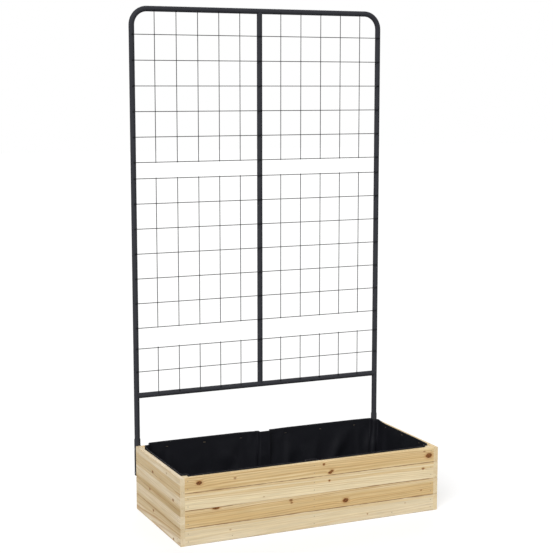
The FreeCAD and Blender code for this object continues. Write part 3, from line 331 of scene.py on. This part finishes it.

    # a darker line of dust and painted shade along each joint between boards; the top board's upper edge gets none
    if "edges" in look:
        low, high = (value * millimetre for value in look["edges"])
        fromLow = calc(tree, "SUBTRACT", up, low)
        fromHigh = calc(tree, "SUBTRACT", high, up)
        near = calc(tree, "ABSOLUTE", fromLow if look["top"] else calc(tree, "MINIMUM", fromLow, fromHigh))
        dustAndShadeNoise = noise(tree, vectorCalc(tree, "MULTIPLY", placed, (14.0, 30.0, 30.0)), 1.0, 3.0)
        width = calc(tree, "MULTIPLY", ramp(tree, dustAndShadeNoise, 0.15, 0.75), wood["dustAndShadeWidth"] * millimetre)
        dustAndShadeMask = calc(tree, "SUBTRACT", 1.0, calc(tree, "DIVIDE", near, width), clamp=True)
        depth = calc(tree, "MULTIPLY_ADD", endGrain, -0.5, look.get("dustAndShadeStrength", wood["dustAndShadeStrength"]))
        if "tightJoint" in look:                        # a joint that hardly shows between two places
            height, start, end = (value * millimetre for value in look["tightJoint"])
            tight = calc(tree, "MULTIPLY", ramp(tree, along, start - 0.06, start + 0.06),
                         ramp(tree, along, end + 0.06, end - 0.06))
            here = ramp(tree, calc(tree, "ABSOLUTE", calc(tree, "SUBTRACT", up, height)), 0.02, 0.01)
            fade = calc(tree, "MULTIPLY", calc(tree, "MULTIPLY", tight, here), wood["jointFade"])
            depth = calc(tree, "MULTIPLY", depth, calc(tree, "SUBTRACT", 1.0, fade))
        colour = mixColour(tree, calc(tree, "MULTIPLY", dustAndShadeMask, depth), colour, wood["dustAndShadeBrown"])

    tree.links.new(colour, shader.inputs["Base Color"])
    dull = addNode(tree, "MapRange", {"Value": fibre, "To Min": 0.52, "To Max": 0.72}).outputs[0]
    tree.links.new(dull, shader.inputs["Roughness"])
    relief = calc(tree, "ADD", calc(tree, "MULTIPLY", late, 0.5), calc(tree, "MULTIPLY", fibre, 0.9))
    if core is not None:
        relief = calc(tree, "MULTIPLY_ADD", core, -0.8, relief)
    addBump(tree, shader, relief, 0.35, 0.0006)
    return material


cream = screenColour(224, 207, 170)
paleCream = screenColour(234, 218, 182)
pinkCream = screenColour(223, 208, 177)
honey = screenColour(216, 192, 146)
paleHoney = screenColour(225, 202, 156)
sand = screenColour(213, 194, 156)
palePink = screenColour(226, 211, 184)
tan = screenColour(208, 178, 126)
deepTan = screenColour(196, 162, 106)
ringBrown = screenColour(172, 130, 78)
ringPale = screenColour(196, 164, 116)
sideLight = screenColour(232, 218, 194)
sideWarm = screenColour(208, 189, 152)
sideMid = screenColour(204, 181, 140)
sideTan = screenColour(182, 155, 110)

# A band is its lower and upper height, its colour and its share. A knot is its place along and up the
# board, its half width and half height, its turn and its depth of tone.
boardLooks = {
    "front_board_1": {"light": pinkCream, "warm": sand, "late": ringPale, "heart": (-205, -20), "tilt": (1.2, 0.5),
                      "bands": [(30, 36, paleCream, 0.5), (55, 63, honey, 0.7)], "ringContrast": 0.4,
                      "knots": [(233, 24, 3, 2.5, 0, 0.6), (-350, 40, 4, 3, 20, 0.35), (402, 47, 3, 2, 0, 0.4)]},
    "front_board_2": {"light": honey, "warm": tan, "late": ringBrown, "heart": (-345, 20), "tilt": (-1.0, 0.4),
                      "tightJoint": (134, -300, 200),
                      "bands": [(84, 95, deepTan, 0.4), (108, 115, deepTan, 0.45), (121, 134, cream, 0.55)],
                      "knots": [(-407, 131, 14, 4.5, -8, 1.0), (-99, 122, 7, 4.5, 0, 0.75), (-96, 112, 5, 3.5, 0, 0.7),
                                (136, 92, 12, 8, 10, 1.0), (475, 90, 4, 3, 0, 0.5)]},
    "front_board_3": {"light": paleCream, "warm": cream, "late": ringPale, "heart": (-200, 240), "tilt": (0.9, -0.6),
                      "tightJoint": (134, -300, 200),
                      "bands": [(156, 162, cream, 0.6), (174, 186, tan, 0.6), (191, 199, tan, 0.7)],
                      "knots": [(65, 180, 4, 3.5, 0, 0.9), (483, 178, 6, 4, 0, 0.8), (-212, 150, 3, 2, 0, 0.4)]},
    "front_board_4": {"light": paleHoney, "warm": tan, "late": ringBrown, "heart": (-340, 180), "tilt": (-0.8, -0.7),
                      "bands": [(209, 216, deepTan, 0.5), (222, 234, tan, 0.6), (246, 252, cream, 0.4)],
                      "knots": [(-474, 236, 11, 7, 28, 1.0), (-330, 237, 5, 4, 0, 0.5), (41, 247, 5, 4, 0, 0.95),
                                (68, 211, 8, 4.5, 20, 1.0), (76, 217, 7, 4, 0, 0.9), (509, 229, 14, 9, 8, 1.0),
                                (488, 248, 5, 3, 0, 0.5)]},
    "left_board_1": {"light": sideLight, "warm": sideWarm, "late": ringBrown, "heart": (-610, 10), "tilt": (1.0, -0.8),
                     "bands": [(-2, 6, sideMid, 0.8), (30, 54, sideMid, 0.85), (54, 69, sideTan, 1.0)],
                     "knots": [(36, 53, 7, 4, 0, 0.9), (-192, 9, 5, 3.5, 0, 0.8)]},
    "left_board_2": {"light": sideLight, "warm": sideWarm, "late": ringPale, "heart": (-590, 150), "tilt": (-1.2, 1.0),
                     "bands": [(65, 73, sideTan, 0.9), (73, 84, sideMid, 0.9), (114, 136, sideTan, 1.0)],
                     "knots": [(76, 128, 6, 4, 0, 0.85)]},
    "left_board_3": {"light": sideLight, "warm": sideWarm, "late": ringPale, "heart": (-620, 210), "tilt": (1.3, 0.7),
                     "bands": [(132, 150, sideTan, 1.0), (150, 156, sideMid, 0.8), (186, 203, sideMid, 1.0)],
                     "knots": [(-191, 159, 7, 4.5, 0, 0.9)]},
    "left_board_4": {"light": sideLight, "warm": sideWarm, "late": ringPale, "heart": (-600, 190), "tilt": (-0.9, 0.8),
                     "bands": [(199, 234, sideMid, 1.0), (205, 222, sideTan, 0.25)],
                     "knots": [(39, 207, 8, 4.5, 8, 0.95), (-120, 243, 4, 3, 0, 0.5)]},
}

wallSides = {"front": ("X", -266, 1, 520), "back": ("X", 241, -1, 520), "left": ("Y", -550, 1, 240),
             "right": ("Y", 550, -1, 240)}
frameGrain = {"corner_post": "Z", "batten": "Z", "ledger": "X", "base_slat": "Y"}
tonePairs = [(cream, honey, ringPale), (honey, tan, ringBrown), (paleCream, honey, ringPale),
             (cream, tan, ringBrown), (pinkCream, tan, ringPale)]


# a board that the photo doesn't show, in the manner of those that it does
def inventedLook(draw, side, course):
    grain, face, inwards, reach = wallSides[side]
    light, warm, late = tonePairs[draw.randrange(len(tonePairs))]
    bottom = course * 67
    knots = []
    for _ in range(draw.randint(1, 4)):
        width = draw.uniform(3, 11)
        knots.append((draw.uniform(-reach, reach), bottom + draw.uniform(10, 52), width,
                      width * draw.uniform(0.5, 0.8), draw.uniform(-25, 25), draw.uniform(0.6, 1.0)))
    bandLow = bottom + draw.uniform(4, 48)
    return {"light": light, "warm": warm, "late": late,
            "heart": (face - inwards * draw.uniform(-70, 60), bottom + draw.uniform(-60, 120)),
            "tilt": (draw.uniform(-1.4, 1.4), draw.uniform(-1.0, 1.0)),
            "bands": [(bandLow, bandLow + draw.uniform(6, 15), tan, draw.uniform(0.3, 0.6))],
            "knots": knots}


def giveMaterial(piece, material):
    if not piece.material_slots:
        piece.data.materials.append(material)
    for slot in piece.material_slots:
        slot.material = material


def dressWood():
    draw = random.Random(7)
    for side, (grain, face, inwards, reach) in wallSides.items():
        for course in range(4):
            name = f"{side}_board_{course + 1}"
            invented = inventedLook(draw, side, course)
            look = dict(boardLooks.get(name, invented))
            low = course * 67
            look.update(grain=grain, seed=draw.uniform(0, 9), edges=(low, low + 67), top=course == 3)
            # the joints on the left side get a weaker line of dust and painted shade
            if side == "left":
                look["dustAndShadeStrength"] = wood["leftDustAndShade"]
            giveMaterial(nodes[name], woodMaterial(f"wood_{name}", look))
    frameWood = {"light": paleCream, "warm": honey, "late": ringBrown, "ringContrast": 0.5, "tilt": (0.8, 0.6)}
    for name in sorted(nodes):
        grain = next((axis for start, axis in frameGrain.items() if name.startswith(start)), None)
        if grain is None:
            continue
        lowest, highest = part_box(name)
        middle = (lowest + highest) / 2 * 1000
        along, deep, up = ("XYZ".index(axis) for axis in grainAxes[grain])
        look = dict(frameWood, grain=grain, seed=draw.uniform(0, 9))
        look["heart"] = (middle[deep] + draw.uniform(20, 60), middle[up] + draw.uniform(-40, 40))
        half = (highest - lowest) * 500
        look["knots"] = [(middle[along] + draw.uniform(-0.8, 0.8) * half[along],
                          middle[up] + draw.uniform(-0.6, 0.6) * half[up],
                          draw.uniform(4, 7), draw.uniform(3, 5), 0, 0.8)]
        giveMaterial(nodes[name], woodMaterial(f"wood_{name}", look))


dressWood()
print("wood is dressed")


# Steel, coating and plastic

coating = {
    "tubeBlack": (0.030, 0.031, 0.036, 1),
    "tubeGrey": (0.044, 0.045, 0.052, 1),
    "tubeRoughness": (0.34, 0.46),
    "peelScale": 900,
    "peelDepth": 0.00006,
}


def coatedMaterial(name, first, second, roughness, peelScale, peelDepth):
    material, tree, shader = newMaterial(name, Specular_IOR_Level=0.02)
    point = objectPoint(tree)
    cloud = noise(tree, point, 9.0, 3.0)
    grainy = noise(tree, point, 2600.0, 1.0)
    share = calc(tree, "MULTIPLY_ADD", grainy, 0.5, calc(tree, "MULTIPLY", cloud, 0.5))
    tree.links.new(mixColour(tree, share, first, second), shader.inputs["Base Color"])
    dull = addNode(tree, "MapRange", {"Value": cloud, "To Min": roughness[0], "To Max": roughness[1]}).outputs[0]
    tree.links.new(dull, shader.inputs["Roughness"])
    addBump(tree, shader, noise(tree, point, peelScale, 2.0), 0.6, peelDepth)
    return material


def platedMaterial(name, first, second, roughness, scale):
    material, tree, shader = newMaterial(name, Metallic=1.0)
    point = objectPoint(tree)
    spangle = addNode(tree, "TexVoronoi", {"Vector": point, "Scale": scale}).outputs["Color"]
    patch = addNode(tree, "SeparateColor", {0: spangle}).outputs[0]
    tree.links.new(mixColour(tree, patch, first, second), shader.inputs["Base Color"])
    dull = addNode(tree, "MapRange", {"Value": patch, "To Min": roughness[0], "To Max": roughness[1]}).outputs[0]
    tree.links.new(dull, shader.inputs["Roughness"])
    addBump(tree, shader, noise(tree, point, scale * 2, 2.0), 0.4, 0.00004)
    return material


def dressMetal():
    tube = coatedMaterial("tubeCoating", coating["tubeBlack"], coating["tubeGrey"], coating["tubeRoughness"],
                          coating["peelScale"], coating["peelDepth"])
    wire = coatedMaterial("wireCoating", (0.012, 0.0125, 0.014, 1), (0.02, 0.0205, 0.023, 1), (0.36, 0.5),
                          1400, 0.00005)
    plastic = coatedMaterial("blackPlastic", (0.012, 0.012, 0.013, 1), (0.018, 0.018, 0.019, 1), (0.5, 0.62),
                             2200, 0.00005)
    screw = coatedMaterial("blackScrew", (0.02, 0.02, 0.022, 1), (0.032, 0.031, 0.03, 1), (0.3, 0.45),
                           1800, 0.00004)
    zinc = platedMaterial("zincSteel", (0.60, 0.61, 0.64, 1), (0.72, 0.72, 0.73, 1), (0.22, 0.36), 1400)
    nail = platedMaterial("nailSteel", (0.28, 0.22, 0.15, 1), (0.40, 0.33, 0.24, 1), (0.5, 0.65), 1900)
    chosen = {"tube_coating": tube, "wire_coating": wire, "black_plastic": plastic, "black_screw": screw,
              "zinc_steel": zinc, "nail_steel": nail}
    for entry in frame["record"]["subparts"]:
        if entry["material_slot"] in chosen:
            giveMaterial(nodes[entry["node"]], chosen[entry["material_slot"]])
    return chosen


finishes = dressMetal()
print("steel and plastic are dressed")


# Weld beads where a wire meets a tube, and the small resistance welds where wires cross

trellis = {
    "tubeLine": 254.0,
    "rowLine": 241.7,
    "columnLine": 244.5,
    "postLine": 539.5,
    "rail": 1989.0,
    "crossbar": 463.0,
    "upperJoint": 1364.0,
    "lowerJoint": 697.0,
    "tubeRadius": 11.0,
    "wireRadius": 1.5,
    "columns": 12,
    "beadWidth": 2.6,
    "beadLength": 4.2,
}


def meshRows():
    upperStep = (trellis["rail"] - trellis["upperJoint"] - 31.6) / 6
    middleStep = (trellis["upperJoint"] - 32 - trellis["lowerJoint"] - 41.6) / 6
    upper = [trellis["rail"] - upperStep * count for count in range(1, 7)]
    middle = [trellis["upperJoint"] - 32 - middleStep * count for count in range(7)]
    lower = [trellis["lowerJoint"] - 42, trellis["crossbar"] + 99]
    return {"upper": upper, "middle": middle, "lower": lower}


def addBead(beads, place, size, draw):
    made = bmesh.ops.create_icosphere(beads, subdivisions=1, radius=1)["verts"]
    stretch = [value * draw.uniform(0.88, 1.12) * millimetre for value in size]
    bmesh.ops.scale(beads, vec=stretch, verts=made)
    turn = Euler((0, draw.uniform(-0.3, 0.3), draw.uniform(-0.2, 0.2))).to_matrix()
    bmesh.ops.rotate(beads, cent=(0, 0, 0), matrix=turn, verts=made)
    bmesh.ops.translate(beads, vec=Vector(place) * millimetre, verts=made)


def newPiece(name, mesh, material, smooth=True):
    data = bpy.data.meshes.new(name)
    mesh.to_mesh(data)
    mesh.free()
    if smooth:
        data.shade_smooth()
    data.materials.append(material)
    piece = bpy.data.objects.new(name, data)
    bpy.context.scene.collection.objects.link(piece)
    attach(piece, "root")
    return piece


def addWelds():
    draw = random.Random(31)
    step = 2 * trellis["postLine"] / trellis["columns"]
    columns = [step * count for count in range(-5, 6) if count]
    between = (trellis["rowLine"] + trellis["columnLine"]) / 2
    landing = trellis["tubeRadius"] - 0.6
    for section, rows in meshRows().items():
        beads = bmesh.new()
        for row in rows:
            for post in (-trellis["postLine"], 0, trellis["postLine"]):
                for side in (-1, 1):
                    spot = (post + side * 1.0, trellis["rowLine"] + 1.2, row + side * 1.6)
                    addBead(beads, spot, (trellis["beadLength"], 1.5, trellis["beadWidth"] * 0.6), draw)
            for column in columns:
                addBead(beads, (column, between, row), (2.0, 1.5, 2.0), draw)
        ends = {"upper": [(trellis["rail"], -1)], "middle": [], "lower": [(trellis["crossbar"], 1)]}[section]
        for height, way in ends:
            for column in columns:
                reach = math.sqrt(landing ** 2 - (trellis["tubeLine"] - trellis["columnLine"]) ** 2)
                for side in (-1, 1):
                    spot = (column + side * 1.4, trellis["columnLine"] + 0.3, height + way * reach)
                    addBead(beads, spot, (1.5, 2.2, 2.2), draw)
        newPiece(f"welds_{section}", beads, finishes["wire_coating"])


addWelds()
print("welds are in place")


# Liner: black spun fabric, cut flat with its corners sewn, stapled under the rim and hanging loose between

liner = {
    "innerSide": 531.0,
    "innerReach": 235.0,
    "middleLine": -12.5,
    "postWidth": 24.0,
    "battenHalf": 20.0,
    "battenDepth": 18.0,
    "gap": 1.05,
    "floor": 37.1,
    "rim": 260.0,
    "frontRise": 5.0,
    "backRise": 15.0,
    "riseRun": 90.0,
    "gridStep": 12.5,
    "fabric": 1.3,
    "stapleHeight": 251.0,
    "stapleReach": 8.0,
    "edgeHold": 0.45,
    "slackRun": 70.0,
    "wallCrease": 17.0,
    "floorCrease": 14.0,
    "packFold": 5.0,
    "frames": 26,
    "flatCut": (0.95, 1.54),
    "flatArea": 1.2,
    "deepBlack": (0.0028, 0.003, 0.0045, 1),
    "paleBlack": (0.0085, 0.0089, 0.012, 1),
}


# the inside of the box as seen from above, round its four posts and two battens
def linerOutline():
    gap = liner["gap"]
    right, back = liner["innerSide"] - gap, liner["innerReach"] - gap
    postX = liner["innerSide"] - liner["postWidth"] - gap
    postY = liner["innerReach"] - liner["postWidth"] - gap
    half = liner["battenHalf"] + gap
    battenY = liner["innerReach"] - liner["battenDepth"] - gap
    quarter = [(right, postY), (postX, postY), (postX, back), (half, back), (half, battenY)]
    corners = []
    for signX, signY, step in ((1, 1, 1), (-1, 1, -1), (-1, -1, 1), (1, -1, -1)):
        corners += [(signX * x, signY * y) for x, y in quarter[::step]]
    return [(x * millimetre, (y + liner["middleLine"]) * millimetre) for x, y in corners]


# the corners of the posts and battens, which stand into the bag
def innerCorners():
    postX = liner["innerSide"] - liner["postWidth"] - liner["gap"]
    postY = liner["innerReach"] - liner["postWidth"] - liner["gap"]
    battenY = liner["innerReach"] - liner["battenDepth"] - liner["gap"]
    quarter = [(postX, postY), (liner["battenHalf"] + liner["gap"], battenY)]
    return [(signX * x * millimetre, (signY * y + liner["middleLine"]) * millimetre)
            for x, y in quarter for signX in (-1, 1) for signY in (-1, 1)]


# x and y of the staples along the inner faces of the walls
def staplePlaces():
    places = []
    room = liner["innerSide"] - liner["postWidth"] - liner["battenHalf"]
    for index in range(3):
        across = liner["battenHalf"] + (index + 0.5) * room / 3
        for side in (-1, 1):
            for wall in (-1, 1):
                places.append((side * across, liner["middleLine"] + wall * liner["innerReach"]))
    sideStep = 2 * (liner["innerReach"] - liner["postWidth"]) / 3
    for index in (-1, 0, 1):
        for side in (-1, 1):
            places.append((side * liner["innerSide"], liner["middleLine"] + index * sideStep))
    return [Vector((x, y)) * millimetre for x, y in places]


# height of the liner's upper edge, which climbs towards the back wall
def edgeHeight(y):
    back = (liner["middleLine"] + liner["innerReach"]) * millimetre
    share = min(max(1 - (back - y) / (liner["riseRun"] * millimetre), 0), 1)
    share = share * share * (3 - 2 * share)
    return (liner["rim"] + liner["frontRise"] + share * (liner["backRise"] - liner["frontRise"])) * millimetre


def linerBag():
    bag = bmesh.new()
    floor, top = liner["floor"] * millimetre, (liner["rim"] + liner["frontRise"]) * millimetre
    corners = [bag.verts.new((x, y, floor)) for x, y in linerOutline()]
    base = bag.faces.new(corners)
    rim = bmesh.ops.extrude_edge_only(bag, edges=list(base.edges))["geom"]
    raised = [item for item in rim if isinstance(item, bmesh.types.BMVert)]
    bmesh.ops.translate(bag, vec=(0, 0, top - floor), verts=raised)
    step = liner["gridStep"] * millimetre
    for axis, low, high in ((0, -0.531, 0.531), (1, -0.2475, 0.2225), (2, floor, top)):
        count = round((high - low) / step)
        for index in range(1, count):
            place, normal = [0, 0, 0], [0, 0, 0]
            place[axis], normal[axis] = low + (high - low) * index / count, 1
            geometry = bag.verts[:] + bag.edges[:] + bag.faces[:]
            bmesh.ops.bisect_plane(bag, geom=geometry, dist=1e-5, plane_co=place, plane_no=normal)
    bmesh.ops.dissolve_degenerate(bag, dist=0.002, edges=bag.edges[:])
    bmesh.ops.recalc_face_normals(bag, faces=bag.faces[:])
    if sum(face.normal.z for face in bag.faces if abs(face.normal.z) > 0.5) > 0:
        bmesh.ops.reverse_faces(bag, faces=bag.faces[:])
    # the cloth is folded tight round the posts and battens
    tight = bag.edges.layers.float.new("crease_edge")
    corners = {(round(x, 4), round(y, 4)) for x, y in innerCorners()}
    for edge in bag.edges:
        places = {(round(vert.co.x, 4), round(vert.co.y, 4)) for vert in edge.verts}
        if len(places) == 1 and places <= corners:
            edge[tight] = 1.0
    share = 1 / (top - floor)
    for vert in bag.verts:
        height = (vert.co.z - floor) * share
        vert.co.z = floor + height * (edgeHeight(vert.co.y) - floor)
    return bag


# sharp along lines, like a crease, and 0 to 1
def ridge(point):
    return 1 - min(abs(mathutils.noise.noise(point)) * 2.6, 1)


# folds in the loose cloth, with the fold lines that it was packed in across its floor
def creaseLiner(bag):
    bag.normal_update()
    for vert in bag.verts:
        x, y, z = vert.co
        height = z / millimetre
        below = min(max((liner["stapleHeight"] - 12 - height) / liner["slackRun"], 0), 1)
        if height < liner["floor"] + 3:
            fold = max(math.exp(-((x * 1000 - line) / 9) ** 2) for line in (-354, -118, 118, 354))
            fold = max(fold, math.exp(-((y * 1000 - liner["middleLine"]) / 9) ** 2))
            depth = liner["floorCrease"] * ridge(Vector((x * 6, y * 8, 3.1))) ** 2 + liner["packFold"] * fold
            near = min((0.53 - abs(x)) / 0.03, (0.235 - abs(y - liner["middleLine"] * millimetre)) / 0.03, 1)
            vert.co.z += depth * max(near, 0) * millimetre
        else:
            folds = ridge(Vector((x * 7, y * 7, z * 2.2))) ** 2
            waves = 0.5 + 0.5 * math.sin((x + y) * 46 + 3 * mathutils.noise.noise(Vector((x * 4, y * 4, z * 6))))
            depth = liner["wallCrease"] * (0.65 * folds + 0.35 * waves)
            vert.co -= vert.normal * (depth * below * millimetre)


def linerMaterial():
    material, tree, shader = newMaterial("linerFabric", Roughness=0.62, Specular_IOR_Level=0.12)
    point = objectPoint(tree)
    flock = noise(tree, point, 1500.0, 3.0, 0.7)
    cloud = noise(tree, point, 26.0, 3.0)
    share = calc(tree, "MULTIPLY_ADD", flock, 0.7, calc(tree, "MULTIPLY", cloud, 0.3))
    colour = mixColour(tree, share, liner["deepBlack"], liner["paleBlack"])
    tree.links.new(colour, shader.inputs["Base Color"])
    dots = addNode(tree, "TexVoronoi", {"Vector": point, "Scale": 520.0}).outputs["Distance"]
    relief = calc(tree, "ADD", calc(tree, "MULTIPLY", ramp(tree, dots, 0.1, 0.5), 0.7),
                  calc(tree, "MULTIPLY", flock, 0.5))
    addBump(tree, shader, relief, 0.5, 0.0004)
    return material


# inner faces of the box with its posts and battens, only for the hanging
def wallCollider():
    shell = bmesh.new()
    corners = [shell.verts.new((x, y, 0.0)) for x, y in linerOutline()]
    base = shell.faces.new(corners)
    rim = bmesh.ops.extrude_edge_only(shell, edges=list(base.edges))["geom"]
    raised = [item for item in rim if isinstance(item, bmesh.types.BMVert)]
    bmesh.ops.translate(shell, vec=(0, 0, 0.4), verts=raised)
    for vert in shell.verts:
        if vert.co.z < 0.1:
            vert.co.z = liner["floor"] * millimetre
    bmesh.ops.recalc_face_normals(shell, faces=shell.faces[:])
    if base.normal.z < 0:                               # the cloth hangs on the side that the faces look to
        bmesh.ops.reverse_faces(shell, faces=shell.faces[:])
    data = bpy.data.meshes.new("linerWall")
    shell.to_mesh(data)
    shell.free()
    wall = bpy.data.objects.new("linerWall", data)
    bpy.context.scene.collection.objects.link(wall)
    return wall


# lets the slack cloth fall and crease between its staples
def hangLiner(piece):
    wall = wallCollider()
    wall.scale = (1 + 0.0016 / 0.53, 1 + 0.0016 / 0.235, 1)
    wall.location.z = -0.0012
    wall.location.y = liner["middleLine"] * millimetre * -(0.0016 / 0.235)
    bpy.context.view_layer.objects.active = wall
    wall.modifiers.new("wall", "COLLISION")
    wall.collision.thickness_outer = 0.001
    wall.collision.cloth_friction = 2
    held = piece.vertex_groups.new(name="held")
    spots = staplePlaces()
    for vert in piece.data.vertices:
        flat = Vector((vert.co.x, vert.co.y))
        nearest = min((flat - spot).length for spot in spots)
        height = vert.co.z / millimetre
        if nearest < liner["stapleReach"] * millimetre and abs(height - liner["stapleHeight"]) < 9:
            held.add([vert.index], 1.0, "ADD")
        elif height > liner["stapleHeight"] - 10:
            held.add([vert.index], liner["edgeHold"], "ADD")
    cloth = piece.modifiers.new("hang", "CLOTH")
    settings = cloth.settings
    settings.quality = 6
    settings.mass = 0.15
    settings.tension_stiffness = 80
    settings.compression_stiffness = 80
    settings.shear_stiffness = 12
    settings.bending_stiffness = 0.2
    settings.air_damping = 3
    settings.vertex_group_mass = "held"
    settings.use_pressure = True
    settings.uniform_pressure_force = 0.02
    cloth.collision_settings.use_collision = True
    cloth.collision_settings.collision_quality = 4
    cloth.collision_settings.distance_min = 0.001
    cloth.collision_settings.use_self_collision = False
    scene = bpy.context.scene
    cloth.point_cache.frame_start = 1
    cloth.point_cache.frame_end = liner["frames"]
    for moment in range(1, liner["frames"] + 1):
        scene.frame_set(moment)
    evaluated = piece.evaluated_get(bpy.context.evaluated_depsgraph_get())
    settled = [vert.co.copy() for vert in evaluated.data.vertices]
    moved = [(place - vert.co).length for vert, place in zip(piece.data.vertices, settled)]
    print("liner moved by up to", round(max(moved) / millimetre, 1), "mm")
    piece.modifiers.clear()
    piece.vertex_groups.clear()
    for vert, place in zip(piece.data.vertices, settled):
        vert.co = place
    bpy.data.objects.remove(wall)
    scene.frame_set(1)


def addLiner():
    bag = linerBag()
    creaseLiner(bag)
    piece = newPiece("liner_cloth", bag, linerMaterial())
    hangLiner(piece)
    fine = piece.modifiers.new("fine", "SUBSURF")
    fine.levels = 1
    fine.render_levels = 1
    fabric = piece.modifiers.new("fabric", "SOLIDIFY")
    fabric.thickness = liner["fabric"] * millimetre
    fabric.offset = 0.0
    fabric.use_even_offset = False
    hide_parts("liner")


addLiner()
print("liner is hung")
